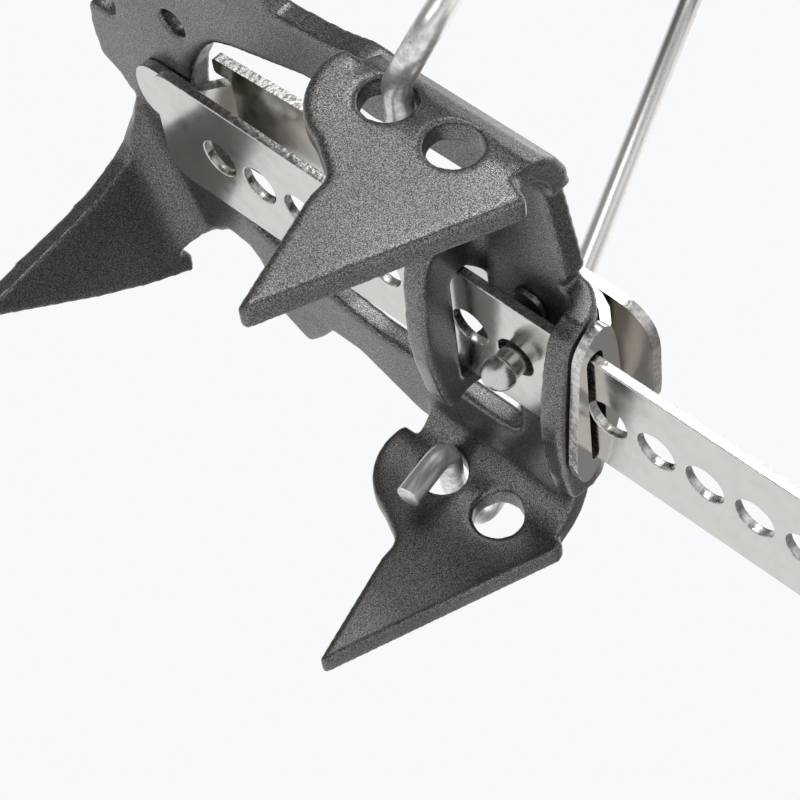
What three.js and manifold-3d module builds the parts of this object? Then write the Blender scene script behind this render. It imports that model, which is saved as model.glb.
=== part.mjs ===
// Strap crampon with an adjustable link bar. Millimetres, +Z up, +X toward the toe, +Y to the left.
// The heel section and the toe section are bent from steel plate. A perforated bar joins them.
import * as THREE from 'three';
import { mergeVertices } from 'three/addons/utils/BufferGeometryUtils.js';
import Module from 'manifold-3d';

const wasm = await Module();
wasm.setup();

// Clearances
const seatGap = 0.15; // between flat sheets that lie on each other
const fitGap = 0.3; // around a piece that passes through or sits in another
const weld = 0.5; // how far joined solids of one piece run into each other
const overrun = 2; // how far a cutter runs past what it cuts

// Perforated link bar
const barWidth = 17.5;
const barThickness = 1.24;
const holePitch = 6.5;
const holeDiameter = 5.07;
const holeCount = 26;
const barRearReach = 10; // from the first hole to the rear end
const barFrontReach = 9; // from the last hole to the front end
const barCorner = 3.2;

// Plate sections
const plateThickness = 3;
const plateBottom = 3.2; // underside of both platforms above the underside of the bar
const sideBendRadius = 5; // inside radius where a spike bends down
const tabBendRadius = 2; // inside radius of the bar guides
const guideDrop = 6.15; // from the underside of the bar to the end of an inner guide
const outerGuideDrop = 3.85;
const innerSlotBottom = 1.2; // below the underside of the bar
const outerSlotBottom = 0.9;
const reliefDiameter = 1.8; // bend relief at the rear end of a side spike
const reliefOffset = 1.1; // from the end of the root
const reliefHeight = 1.4;
const spikeDrop = 30.6; // from the underside of the bar to the spike tips
const plateTop = plateBottom + plateThickness;

// Side spikes
const heelHalfWidth = 34.85; // outer face of a heel side spike
const toeHalfWidth = 45;
const spikeRoot = 22.5; // length of the bend that carries a side spike
const bailHoleDiameter = 6.2;
const bailHoleInset = 5.9; // from the rear end of the root
const bailHoleDrop = 1.7; // below the underside of the bar
const lobeRadius = 8.6; // round lobe about the bail hole
const lobeTop = 0.5;
const spareHoleSpacing = 9.2;
const spareHoleDrop = 0.4;
const tipRadius = 0.8;

// Heel section
const heelSpikeStart = 27.1; // rear end of the root of the side spikes
const crossbarRear = 40.3; // where the inner guide bends down
const crossbarFront = 50; // where the outer guide bends down
const innerGuideHalfWidth = 14.2;
const innerGuideShift = -2.2; // to the left of the middle
const outerGuideHalfWidth = 14.75;
const outerGuideShift = 2.25;
const pinPlace = 45.5; // from the first hole at the drawn setting
const pinHole = 7; // index of the bar hole that takes the lock pin
const pinDiameter = 4.2;
const pinShankDiameter = 3.6;
const pinNeckDiameter = 3;
const pinClearHole = 5.8;
const pinTipDrop = 4.6;
const pinStepDrop = 2.1; // where the shank widens to the tip
const pinHeadTall = 1;
const keeperHoleDiameter = 3.8;

// Lock lever
const leverHalfWidth = 8.8;
const leverThickness = 1.3;
const leverFront = 58.4;
const leverFrontCorner = 5.8;
const shoulderRear = -5.2; // rear end of the body beside the tongue
const tongueSlit = 0.6; // between the tongue and the shoulders
const tongueRear = -15.3;
const tongueHalfWidth = 4.2;
const tongueGap = 0.2; // between the tongue and the platform
const leverGap = 0.17; // between the arm and the guide plate
const leverFall = 1.97; // from the level of the arm down to its rear end

// Guide plate
const guideThickness = 1.2;
const guideHalfWidth = 12.4;
const guideFaceDrop = 3.1; // from the underside of the bar to the lowest point of the face
const guideNeckHalfWidth = 9.36;

// Bails and cradles
const wireDiameter = 3.1;
const wireBend = 3.6; // centre-line radius of the tight bends
const legBend = 6; // centre-line radius at the foot of a leg
const hookTall = 8.3; // inside end of a bail below its hole
const hookReach = 3.84; // from the inner face of the plate to the hook
const hookTurn = 1.2; // how far the hook's end leans
const legOffset = 3.57; // from the hole to the foot of a leg
const heelBailHalfWidth = 43.33;
const heelBailLean = 0.382; // backward travel of a leg for each unit of height
const heelBailDraw = 0.144; // inward travel of a leg for each unit of height
const heelBailHeight = 86;
const heelLoopReach = 22; // straight run from the legs to the loop
const heelLoopDepth = 30;
const toeBailHalfWidth = 53;
const toeBailLean = 0.1;
const toeBailDraw = 0.1;
const toeBailHeight = 36;
const toeLoopReach = 18;
const toeLoopDepth = 26;
const cradleWall = 2.4;
const cradleTunnelWall = 1.7;
const slotTall = 20.5; // strap slots
const slotWide = 3.6;
const earRim = 3.4; // material round a strap slot
const earReach = 13; // from the legs to the end of an ear
const heelCradleTall = 34;
const heelEarLift = 8; // the heel ears sit above the wire
const toeCradleTall = 28;

// Toe section
const pivotHole = 24; // index of the bar hole that takes the pivot rivet
const toeLength = 84; // from the pivot to the roots of the front points
const pivotDiameter = 4.6;
const pivotHeadDiameter = 10;
const frontPointLength = 34;
const frontPointWidth = 14;
const frontPointSpread = 24; // between the centre lines of the front points and the middle
const frontPointAngle = 0.55; // radians below level

// Fasteners
const smallRivetShank = 3;
const smallRivetHead = 6;
const smallRivetHeadTall = 0.9;

// Finishes
const coated = { color: 0x55565a, roughness: 0.55, metalness: 0.6 };
const nickel = { color: 0xcfcac4, roughness: 0.22, metalness: 1 };
const stainless = { color: 0xc4c2be, roughness: 0.32, metalness: 1 };
const rubber = { color: 0x1d1e20, roughness: 0.7, metalness: 0 };

const roundSegments = 24;
const smallSegments = 16;
const rivetSegments = 12;
const arcSteps = 3;
const fineArcSteps = 6;

// Middle of a hole of the bar, counted from the rear: the lock pin fixes the row in the heel section
function holePlace(index) {
  return pinPlace + (index - pinHole) * holePitch;
}

// A closed mesh with merged vertices, as a solid for joins and cuts
function solid(geometry) {
  const bare = geometry.clone();
  bare.deleteAttribute('normal');
  bare.deleteAttribute('uv');
  const merged = mergeVertices(bare);
  return new wasm.Manifold(new wasm.Mesh({
    numProp: 3,
    vertProperties: merged.attributes.position.array,
    triVerts: merged.index.array,
  }));
}

function geometryOf(body) {
  const mesh = body.getMesh();
  const geometry = new THREE.BufferGeometry();
  geometry.setAttribute('position', new THREE.BufferAttribute(mesh.vertProperties, 3));
  geometry.setIndex(new THREE.BufferAttribute(mesh.triVerts, 1));
  geometry.computeVertexNormals();
  return geometry;
}

function joined(solids) {
  return solids.reduce((sum, next) => sum.add(next));
}

function cut(body, cutters) {
  return cutters.reduce((rest, cutter) => rest.subtract(cutter), body);
}

// The same geometry on the other side of the middle plane
function mirrored(geometry) {
  const copy = geometry.index ? geometry.toNonIndexed() : geometry.clone();
  copy.scale(1, -1, 1);
  const place = copy.attributes.position;
  for (let i = 0; i < place.count; i += 3) {
    const second = new THREE.Vector3().fromBufferAttribute(place, i + 1);
    const third = new THREE.Vector3().fromBufferAttribute(place, i + 2);
    place.setXYZ(i + 1, third.x, third.y, third.z);
    place.setXYZ(i + 2, second.x, second.y, second.z);
  }
  return copy;
}

// A closed outline through corners [x, y, radius], each rounded by an arc of its radius
function roundedShape(corners, steps = arcSteps) {
  const count = corners.length;
  const points = [];
  for (let i = 0; i < count; i += 1) {
    const here = new THREE.Vector2(corners[i][0], corners[i][1]);
    const before = new THREE.Vector2(...corners[(i + count - 1) % count].slice(0, 2)).sub(here);
    const after = new THREE.Vector2(...corners[(i + 1) % count].slice(0, 2)).sub(here);
    const radius = corners[i][2];
    const half = Math.acos(THREE.MathUtils.clamp(
      before.dot(after) / before.length() / after.length(), -1, 1)) / 2;
    const reach = Math.min(radius / Math.tan(half), before.length() / 2, after.length() / 2);
    if (!radius || half > 1.5) {
      points.push(here);
      continue;
    }
    const start = here.clone().add(before.clone().setLength(reach));
    const end = here.clone().add(after.clone().setLength(reach));
    const arc = new THREE.QuadraticBezierCurve(start, here, end);
    points.push(...arc.getPoints(steps));
  }
  return new THREE.Shape(points);
}

function circlePath(x, y, diameter, segments = smallSegments) {
  const path = new THREE.Path();
  const ring = [];
  for (let i = 0; i < segments; i += 1) {
    const angle = -2 * Math.PI * i / segments;
    ring.push(new THREE.Vector2(x + Math.cos(angle) * diameter / 2, y + Math.sin(angle) * diameter / 2));
  }
  path.setFromPoints(ring);
  return path;
}

// A shape in X and Y made solid from bottom to top
function slab(shape, bottom, top) {
  const geometry = new THREE.ExtrudeGeometry(shape, { depth: top - bottom, bevelEnabled: false });
  return geometry.translate(0, 0, bottom);
}

// A shape in X and Z made solid from y = near to y = far
function wall(shape, near, far) {
  const geometry = new THREE.ExtrudeGeometry(shape, { depth: far - near, bevelEnabled: false });
  return geometry.rotateX(Math.PI / 2).translate(0, far, 0);
}

// A shape in Y and Z made solid from x = rear to x = front
function panel(shape, rear, front) {
  const geometry = new THREE.ExtrudeGeometry(shape, { depth: front - rear, bevelEnabled: false });
  const basis = new THREE.Matrix4().makeBasis(
    new THREE.Vector3(0, 1, 0), new THREE.Vector3(0, 0, 1), new THREE.Vector3(1, 0, 0));
  return geometry.applyMatrix4(basis).translate(rear, 0, 0);
}

function post(x, y, diameter, bottom, top, segments = roundSegments) {
  const geometry = new THREE.CylinderGeometry(diameter / 2, diameter / 2, top - bottom, segments);
  return geometry.rotateX(Math.PI / 2).translate(x, y, (top + bottom) / 2);
}

function crossPost(x, z, diameter, near, far, segments = roundSegments) {
  const geometry = new THREE.CylinderGeometry(diameter / 2, diameter / 2, far - near, segments);
  return geometry.translate(x, (near + far) / 2, z);
}

function lathe(profile, segments = roundSegments) {
  const points = profile.map(([x, y]) => new THREE.Vector2(x, y));
  return new THREE.LatheGeometry(points, segments).rotateX(Math.PI / 2);
}

// The curved stretch of a plate that bends down by an angle about a level line.
// The line starts at (x, y) and runs along heading for the span; outward is to the left of heading.
function bendFrame(x, y, heading) {
  const along = new THREE.Vector3(Math.cos(heading), Math.sin(heading), 0);
  const outward = new THREE.Vector3(-Math.sin(heading), Math.cos(heading), 0);
  const up = new THREE.Vector3(0, 0, 1);
  return new THREE.Matrix4().makeBasis(outward, up, along).setPosition(x, y, 0);
}

function bendSector(frame, from, to, radius, thickness, angle, bottom, tail = weld) {
  const centre = bottom - radius;
  const outer = radius + thickness;
  const steps = 5;
  const profile = [new THREE.Vector2(-weld, bottom + thickness)];
  const around = (reach, turn) => new THREE.Vector2(
    Math.sin(turn) * reach, centre + Math.cos(turn) * reach);
  for (let i = 0; i <= steps; i += 1) profile.push(around(outer, angle * i / steps));
  const run = new THREE.Vector2(Math.cos(angle), -Math.sin(angle)).multiplyScalar(tail);
  profile.push(around(outer, angle).add(run), around(radius, angle).add(run));
  for (let i = steps; i >= 0; i -= 1) profile.push(around(radius, angle * i / steps));
  profile.push(new THREE.Vector2(-weld, bottom));
  const shape = new THREE.Shape(profile);
  const geometry = new THREE.ExtrudeGeometry(shape, { depth: to - from, bevelEnabled: false });
  return geometry.translate(0, 0, from).applyMatrix4(frame);
}

// A vertical flange past the bend: its shape is drawn along the bend line and up
function flange(frame, shape, radius, thickness) {
  const geometry = new THREE.ExtrudeGeometry(shape, { depth: thickness, bevelEnabled: false });
  const turn = new THREE.Matrix4().makeBasis(
    new THREE.Vector3(0, 0, 1), new THREE.Vector3(0, 1, 0), new THREE.Vector3(-1, 0, 0));
  return geometry.applyMatrix4(turn).translate(radius + thickness, 0, 0).applyMatrix4(frame);
}

// Side spike seen from outside, drawn from the rear end of its root. The round lobe about the
// bail hole runs into the blade, which leans toward the toe down to its tip. The last number of
// each share is the corner's radius as a share of the tip radius.
const leftBladeShares = [
  [0.36, -0.4, 3], [0.37, -0.5, 1], [0.545, -0.985, 1], [0.575, -0.97, 1], [1.058, -0.045, 0],
  [1.045, 0, 0], [1, -0.01, 0]];
const rightBladeShares = [
  [0.365, -0.42, 3], [0.372, -0.52, 1], [0.56, -0.985, 1], [0.6, -0.975, 1], [1.13, -0.115, 0],
  [1.12, -0.095, 0], [1.02, -0.065, 0]];
function sideSpikeShape(bladeShares) {
  const bendEnd = plateBottom - sideBendRadius;
  const blade = bladeShares.map(([x, z, r]) => [x * spikeRoot, z * spikeDrop, r * tipRadius]);
  const lobe = [];
  const startAngle = Math.PI - Math.asin((lobeTop + bailHoleDrop) / lobeRadius);
  const endAngle = 1.42 * Math.PI;
  const lobeSteps = 12;
  for (let i = 0; i <= lobeSteps; i += 1) {
    const angle = startAngle + (endAngle - startAngle) * i / lobeSteps;
    lobe.push([bailHoleInset + Math.cos(angle) * lobeRadius,
      Math.sin(angle) * lobeRadius - bailHoleDrop, 0]);
  }
  return roundedShape([
    [spikeRoot, bendEnd, 0], [0, bendEnd, 0], [0, lobeTop, 0], ...lobe, ...blade]);
}

// Cutters for the bail hole and the spare hole on both sides of a plate section
function bailHoleCutters(x, halfWidth) {
  const near = halfWidth - sideBendRadius - plateThickness;
  const far = halfWidth + overrun;
  return [1, -1].flatMap((side) => [
    crossPost(x + bailHoleInset, -bailHoleDrop, bailHoleDiameter, near, far, smallSegments),
    crossPost(x + bailHoleInset + spareHoleSpacing, -bailHoleDrop - spareHoleDrop, bailHoleDiameter,
      near, far, smallSegments),
  ].map((post) => solid(side > 0 ? post : mirrored(post))));
}

// Both side spikes of one plate section whose roots start at x
function sideSpikePair(x, halfWidth) {
  const line = halfWidth - sideBendRadius - plateThickness;
  const frame = bendFrame(x, line, 0);
  const sector = bendSector(frame, 0, spikeRoot, sideBendRadius, plateThickness, Math.PI / 2, plateBottom);
  const left = flange(frame, sideSpikeShape(leftBladeShares), sideBendRadius, plateThickness);
  const right = flange(frame, sideSpikeShape(rightBladeShares), sideBendRadius, plateThickness);
  return [sector, left, mirrored(sector), mirrored(right)];
}

// Bend whose ends drift along its line as it turns: each pair of shares is one step of the turn
const rearBendShares = [[0, 1], [0, 1.032], [0, 1.063], [0.163, 1.095], [0.301, 1.126], [0.373, 1.158]];
function driftSector(frame, root, radius, thickness, bottom) {
  const last = rearBendShares.length - 1;
  const ring = ([from, to], x, inner, outer) => [
    [outer[0] + x, outer[1], from * root], [outer[0] + x, outer[1], to * root],
    [inner[0] + x, inner[1], to * root], [inner[0] + x, inner[1], from * root]];
  const around = (reach, turn) => [
    Math.sin(turn) * reach, bottom - radius + Math.cos(turn) * reach];
  const rings = rearBendShares.map((shares, i) => {
    const turn = Math.PI / 2 * i / last;
    return ring(shares, 0, around(radius, turn), around(radius + thickness, turn));
  });
  rings.unshift(ring(rearBendShares[0], -weld, around(radius, 0), around(radius + thickness, 0)));
  rings.push(rings[last + 1].map(([x, y, z]) => [x, y - weld, z]));
  const corners = [];
  const face = (a, b, c, d) => corners.push(...a, ...b, ...c, ...a, ...c, ...d);
  const [first, end] = [rings[0], rings[rings.length - 1]];
  face(first[0], first[3], first[2], first[1]);
  face(end[0], end[1], end[2], end[3]);
  for (let i = 0; i + 1 < rings.length; i += 1) {
    for (let k = 0; k < 4; k += 1) {
      const next = (k + 1) % 4;
      face(rings[i][k], rings[i][next], rings[i + 1][next], rings[i + 1][k]);
    }
  }
  const geometry = new THREE.BufferGeometry();
  geometry.setAttribute('position', new THREE.Float32BufferAttribute(corners, 3));
  return geometry.applyMatrix4(frame);
}

// Rear heel spike, a blade with straight edges, drawn along its root
const rearBladeShares = [
  [0.398, -0.128, 0], [0.443, -0.235, 0], [0.469, -0.38, 0], [0.487, -0.5, 0], [0.514, -0.72, 0],
  [0.533, -0.955, 0.6], [0.558, -0.93, 0.6], [0.618, -0.838, 0], [0.797, -0.635, 0], [0.985, -0.425, 0],
  [1.163, -0.2, 0], [1.301, 0.015, 0.5], [1.217, 0.035, 0.5], [1.155, 0.03, 0]];
function rearSpike(x, y, heading, root) {
  const bendEnd = plateBottom - sideBendRadius;
  const frame = bendFrame(x, y, heading);
  const [from, to] = rearBendShares[rearBendShares.length - 1];
  const outline = roundedShape([
    [to * root, bendEnd, 0], [from * root, bendEnd, 0],
    ...rearBladeShares.map(([along, drop, r]) => [along * root, drop * spikeDrop, r * tipRadius])]);
  return [
    driftSector(frame, root, sideBendRadius, plateThickness, plateBottom),
    flange(frame, outline, sideBendRadius, plateThickness),
  ];
}

// A guide bent down from a crossbar. It faces forward or backward, and its outline is given
// from right to left as shares of its half width and of its drop.
const innerGuideShares = [
  [-0.915, -0.78, 4], [-0.606, -0.927, 6], [-0.176, -0.992, 6], [0.063, -1, 6], [0.324, -0.96, 6],
  [0.577, -0.862, 6], [0.81, -0.764, 3], [0.972, -0.634, 2], [1.042, -0.52, 0.8], [1.014, -0.374, 1],
  [0.972, -0.098, 1]];
const outerGuideShares = [
  [-0.898, -0.416, 2], [-0.627, -0.675, 3], [-0.288, -0.909, 5], [-0.05, -1, 5], [0.186, -1, 5],
  [0.654, -0.831, 5], [0.919, -0.636, 2], [0.966, -0.468, 1]];
function barGuide(line, facing, half, shift, drop, shares) {
  const frame = bendFrame(line, 0, facing > 0 ? -Math.PI / 2 : Math.PI / 2);
  const across = (share) => -facing * (shift + share * half);
  const ends = [across(-1), across(1)];
  const sector = bendSector(
    frame, Math.min(...ends), Math.max(...ends), tabBendRadius, plateThickness, Math.PI / 2, plateBottom);
  const bendEnd = plateBottom - tabBendRadius;
  const outline = roundedShape([
    [ends[1], bendEnd, 0], [ends[0], bendEnd, 0],
    ...shares.map(([y, z, r]) => [across(y), z * drop, r])]);
  const inner = line - facing * 2 * overrun;
  const root = roundedShape([
    [line, shift - half, 0], [line, shift + half, 0], [inner, shift + half, 0], [inner, shift - half, 0]]);
  return [
    slab(root, plateBottom, plateTop), sector, flange(frame, outline, tabBendRadius, plateThickness)];
}

function barSlotCutter(rear, front, bottom) {
  const half = barWidth / 2 + fitGap * 2;
  const top = barThickness + seatGap * 5;
  const round = (top + bottom) / 2;
  return panel(roundedShape([
    [half, -bottom, round], [half, top, round], [-half, top, round], [-half, -bottom, round]]), rear, front);
}

// The inner guide's slot narrows upward and runs out through the bend, below the lock lever
const throatShares = [[1, 0], [1, 0.35], [0.575, 1]];
function throatCutter(rear, front) {
  const half = barWidth / 2 + fitGap;
  const tall = plateBottom + plateThickness;
  const left = throatShares.map(([y, z]) => [
    y * half, z * tall - innerSlotBottom, z ? 1 : innerSlotBottom]);
  left.push([left[2][0], plateTop + overrun, 0]);
  const right = left.map(([y, z, r]) => [-y, z, r]).reverse();
  return panel(roundedShape([...left, ...right]), rear, front);
}

// Plan of the heel platform: corners from the toe side to the rear on each side, as shares of its
// reach and half width, then the rear edge from left to right
const heelReach = crossbarFront + tabBendRadius - fitGap;
const lineShare = (heelHalfWidth - sideBendRadius - plateThickness) / heelHalfWidth;
const rootShare = heelSpikeStart / heelReach;
const rearSideShares = [[0.205, 0.8, 1], [0.155, 0.905, 1], [0.105, 0.985, 1], [0.006, 0.895, 1.5]];
const heelLeftShares = [
  [0.96, lineShare, 0], [rootShare, lineShare, 0], [0.522, 0.93, 0.4], [0.47, 0.918, 3],
  [0.405, 0.875, 3], [0.29, 0.8, 3], ...rearSideShares,
  [-0.02, 0.67, 2], [-0.05, 0.615, 1.5], [-0.12, 0.6, 1.5], [-0.149, 0.644, 0.5],
];
const heelRightShares = [
  [0.935, lineShare, 1], [rootShare, lineShare, 0], [0.522, 0.85, 0.4], [0.475, 0.86, 2],
  [0.44, 0.855, 3], [0.375, 0.828, 3], [0.318, 0.816, 3], ...rearSideShares, [-0.09, 0.8, 1.5],
];
const rearRoot = 20.9;
const rearHeading = Math.atan2(0.955, 0.297);
const rearLineX = -14.77;
const rearLineY = 2.94;
const rearEdgeShares = [
  [-0.378, 0.13, 1.2], [-0.405, 0.065, 1.2], [-0.462, 0.015, 1.5],
  [-0.468, -0.13, 3], [-0.458, -0.25, 1.2], [-0.36, -0.235, 2], [-0.36, -0.36, 2],
  [-0.46, -0.42, 2], [-0.5, -0.62, 2], [-0.5, -lineShare, 0],
];
const sideRearRoot = 16;
const sideRearShare = -0.5;
const heelOpeningShares = [
  [0.81, 0.628, 3], [0.7, 0.632, 4], [0.6, 0.625, 4], [0.48, 0.605, 4], [0.36, 0.61, 3],
  [0.27, 0.591, 3], [0.137, 0.536, 3], [0.041, 0.497, 2], [-0.012, 0.463, 1.5], [-0.048, 0.412, 1],
  [-0.076, 0.353, 1], [-0.112, 0.25, 1.5], [-0.131, 0.13, 1],
];
const keeperShares = [-0.151, -0.42];

function heelFrame() {
  const place = ([x, y, r]) => [x * heelReach, y * heelHalfWidth, r];
  const placeRight = ([x, y, r]) => [x * heelReach, -y * heelHalfWidth, r];
  const line = heelHalfWidth - sideBendRadius - plateThickness;
  const sideRearStart = sideRearShare * heelReach;
  const plan = roundedShape([
    [crossbarFront, outerGuideShift + outerGuideHalfWidth, 0],
    ...heelLeftShares.map(place),
    [rearLineX + Math.cos(rearHeading) * rearRoot, rearLineY + Math.sin(rearHeading) * rearRoot, 0],
    [rearLineX, rearLineY, 0],
    ...rearEdgeShares.map(place),
    [sideRearStart + sideRearRoot, -line, 0],
    ...heelRightShares.map(placeRight).reverse(),
    [crossbarFront + tabBendRadius / 2, outerGuideShift - outerGuideHalfWidth - overrun, 2 * weld],
    [crossbarFront, outerGuideShift - outerGuideHalfWidth, 0],
  ]);
  const opening = roundedShape([
    ...heelOpeningShares.map(place), ...heelOpeningShares.map(placeRight).reverse()]);
  plan.holes.push(new THREE.Path(opening.getPoints().reverse()));
  plan.holes.push(circlePath(
    keeperShares[0] * heelReach, keeperShares[1] * heelHalfWidth, keeperHoleDiameter, smallSegments));
  const body = joined([
    slab(plan, plateBottom, plateTop),
    ...sideSpikePair(heelSpikeStart, heelHalfWidth),
    ...rearSpike(rearLineX, rearLineY, rearHeading, rearRoot),
    ...rearSpike(sideRearStart, line, 0, sideRearRoot).map(mirrored),
    ...barGuide(crossbarRear, -1, innerGuideHalfWidth, innerGuideShift, guideDrop, innerGuideShares),
    ...barGuide(
      crossbarFront, 1, outerGuideHalfWidth, outerGuideShift, outerGuideDrop, outerGuideShares),
  ].map(solid));
  const reliefs = [1, -1].map((side) => solid(
    crossPost(
      heelSpikeStart - reliefOffset, reliefHeight, reliefDiameter, -overrun, overrun + plateThickness)
      .translate(0, side * (heelHalfWidth - plateThickness), 0)));
  return cut(body, [
    solid(throatCutter(crossbarRear - 4 * overrun, crossbarRear - 2 * weld)),
    solid(barSlotCutter(crossbarFront + weld, crossbarFront + 4 * overrun, outerSlotBottom)),
    solid(post(pinPlace, 0, pinClearHole, plateBottom - overrun, plateTop + overrun)),
    ...guideRivetPlaces().map(([x, y]) => solid(
      post(x, y, smallRivetShank + fitGap, plateBottom - overrun, plateTop + overrun, smallSegments))),
    ...bailHoleCutters(heelSpikeStart, heelHalfWidth),
    ...reliefs,
  ]);
}

function linkBar() {
  const front = holePlace(holeCount - 1) + barFrontReach;
  const rear = holePlace(0) - barRearReach;
  const half = barWidth / 2;
  const shape = roundedShape([
    [front, -half, barCorner], [front, half, barCorner],
    [rear, half, barCorner], [rear, -half, barCorner]]);
  for (let k = 0; k < holeCount; k += 1) shape.holes.push(circlePath(holePlace(k), 0, holeDiameter));
  return slab(shape, 0, barThickness);
}

// Bright guide plate on the crossbar, bent down in front of the outer guide. The outline of its
// face runs from the lower left corner round, as shares of its half width and of its drop.
const guideBendInner = tabBendRadius + plateThickness + fitGap;
const guideFaceShares = [
  [-1, 0.81, 1.5], [-0.96, 0.19, 1], [-0.863, -0.26, 1.5], [-0.726, -0.52, 2], [-0.403, -0.645, 4],
  [0, -0.806, 5], [0.411, -0.935, 5], [0.677, -1, 3], [0.911, -0.742, 2], [0.976, -0.323, 1],
  [0.879, 0.03, 1], [0.823, 0.323, 1], [0.7, 0.97, 2], [0.4, 1.39, 4], [0.1, 1.5, 4],
  [-0.177, 1.5, 4], [-0.323, 1.468, 4], [-0.645, 1.355, 4], [-0.871, 1.19, 2]];
const sinkHead = 4.8; // countersunk heads flush with the guide plate
function guideRivetPlaces() {
  const x = (crossbarRear + crossbarFront) / 2 + fitGap;
  return [[x, barWidth * 0.36], [x, -barWidth * 0.36]];
}
function guidePlate() {
  const bottom = plateTop + seatGap;
  const rear = crossbarRear + 2 * weld;
  const half = guideNeckHalfWidth;
  const flat = roundedShape([
    [crossbarFront, half, 0], [rear, half, 2 * weld], [rear, -half, 2 * weld], [crossbarFront, -half, 0]]);
  const frame = bendFrame(crossbarFront, 0, -Math.PI / 2);
  const sector = bendSector(frame, -half, half, guideBendInner, guideThickness, Math.PI / 2, bottom);
  const outline = roundedShape(
    guideFaceShares.map(([y, z, r]) => [-y * guideHalfWidth, z * guideFaceDrop, r]), fineArcSteps);
  const face = flange(frame, outline, guideBendInner, guideThickness);
  const body = joined([
    solid(slab(flat, bottom, bottom + guideThickness)), solid(sector), solid(face)]);
  const frontFace = crossbarFront + guideBendInner + guideThickness;
  return cut(body, [
    solid(barSlotCutter(crossbarFront + overrun, frontFace + overrun, outerSlotBottom - fitGap)),
    solid(post(pinPlace, 0, pinClearHole, bottom - overrun, bottom + overrun)),
    ...guideRivetPlaces().map(([x, y]) => solid(
      countersink(bottom, bottom + guideThickness, fitGap).translate(x, y, 0))),
  ]);
}

// Cutter for a countersunk hole, wider at its top
function countersink(bottom, top, gap) {
  const narrow = (smallRivetShank + gap) / 2;
  const wide = (sinkHead + gap) / 2;
  return lathe([
    [0, bottom - overrun], [narrow, bottom - overrun], [narrow, bottom],
    [wide, top], [wide, top + overrun], [0, top + overrun]], smallSegments);
}

// Rivet with a flush countersunk head above and a low head below
function guideRivet() {
  const flush = plateTop + seatGap + guideThickness;
  const under = plateBottom - seatGap;
  return lathe([
    [0, under - 2 * fitGap], [sinkHead / 2 - fitGap, under - 2 * fitGap], [sinkHead / 2, under],
    [smallRivetShank / 2, under], [smallRivetShank / 2, flush - guideThickness],
    [sinkHead / 2, flush - seatGap / 2], [0, flush - seatGap / 2]], smallSegments);
}

// Sprung lock lever: a flat arm with two shoulders at its rear, and between them a tongue that
// joggles down through the opening and under the platform
const joggleRear = -5.6;
const joggleFront = -2.6;
const tongueBottom = plateBottom - tongueGap - leverThickness;
const leverFrontHeight = plateTop + seatGap + guideThickness + leverGap;
const leverRearHeight = leverFrontHeight - leverFall;
const leverLevel = crossbarRear + overrun; // the arm rises to here and then runs level
const leverSlope = (leverFrontHeight - leverRearHeight) / (leverLevel - joggleFront);
const tongueY = -tongueHalfWidth * 0.38;
function leverHeight(x) {
  return leverRearHeight + leverSlope * (x - joggleFront);
}

// A strip of the lever's thickness whose underside follows a line of places [x, z]
function leverStrip(line, lean) {
  const upper = line.map(([x, z], i) => [x - (lean[i] || 0), z + leverThickness]).reverse();
  const side = new THREE.Shape([...line, ...upper].map(([x, z]) => new THREE.Vector2(x, z)));
  return solid(wall(side, -leverHalfWidth - overrun, leverHalfWidth + overrun));
}

function lockLever() {
  const half = leverHalfWidth;
  const notchLeft = tongueY + tongueHalfWidth + tongueSlit;
  const notchRight = tongueY - tongueHalfWidth - tongueSlit;
  const body = roundedShape([
    [leverFront, -half, leverFrontCorner], [leverFront, half, leverFrontCorner],
    [shoulderRear, half, tongueSlit], [shoulderRear, notchLeft, tongueSlit],
    [joggleFront, notchLeft, tongueSlit], [joggleFront, notchRight, tongueSlit],
    [shoulderRear, notchRight, tongueSlit], [shoulderRear, -half, tongueSlit]], fineArcSteps);
  const tongueFront = joggleFront + weld;
  const tongue = roundedShape([
    [tongueFront, tongueY - tongueHalfWidth, 0], [tongueFront, tongueY + tongueHalfWidth, 0],
    [tongueRear, tongueY + tongueHalfWidth, tongueHalfWidth],
    [tongueRear, tongueY - tongueHalfWidth, tongueHalfWidth]], fineArcSteps);
  const fold = leverThickness * 0.55;
  const arm = leverStrip([
    [shoulderRear - overrun, leverHeight(shoulderRear - overrun)], [leverLevel, leverFrontHeight],
    [leverFront + overrun, leverFrontHeight]], []);
  const joggle = leverStrip([
    [tongueRear - overrun, tongueBottom], [joggleRear, tongueBottom], [joggleFront, leverRearHeight],
    [joggleFront + overrun, leverHeight(joggleFront + overrun)]], [0, fold, fold, 0]);
  const bottom = -overrun;
  const top = plateTop + 4 * overrun;
  const whole = joined([
    arm.intersect(solid(slab(body, bottom, top))), joggle.intersect(solid(slab(tongue, bottom, top)))]);
  return cut(whole, [solid(post(
    pinPlace, 0, pinNeckDiameter + 2 * seatGap, plateTop, top, smallSegments))]);
}

// Lock pin: a domed tip wider than its shank, and a riveted neck and head through the lever
function lockPin() {
  const radius = pinDiameter / 2;
  const shank = pinShankDiameter / 2;
  const neck = pinNeckDiameter / 2;
  const leverTop = leverFrontHeight + leverThickness;
  const domeSteps = 5;
  const profile = [[0, -pinTipDrop]];
  for (let i = 1; i <= domeSteps; i += 1) {
    const angle = Math.PI / 2 * i / domeSteps;
    profile.push([Math.sin(angle) * radius, -pinTipDrop + radius * (1 - Math.cos(angle))]);
  }
  profile.push([radius, -pinStepDrop], [shank, -pinStepDrop + radius - shank]);
  profile.push([shank, leverFrontHeight - seatGap], [neck, leverFrontHeight - seatGap]);
  profile.push([neck, leverTop + seatGap], [radius, leverTop + seatGap]);
  profile.push([shank, leverTop + pinHeadTall], [0, leverTop + pinHeadTall + seatGap]);
  return lathe(profile).translate(pinPlace, 0, 0);
}

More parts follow.
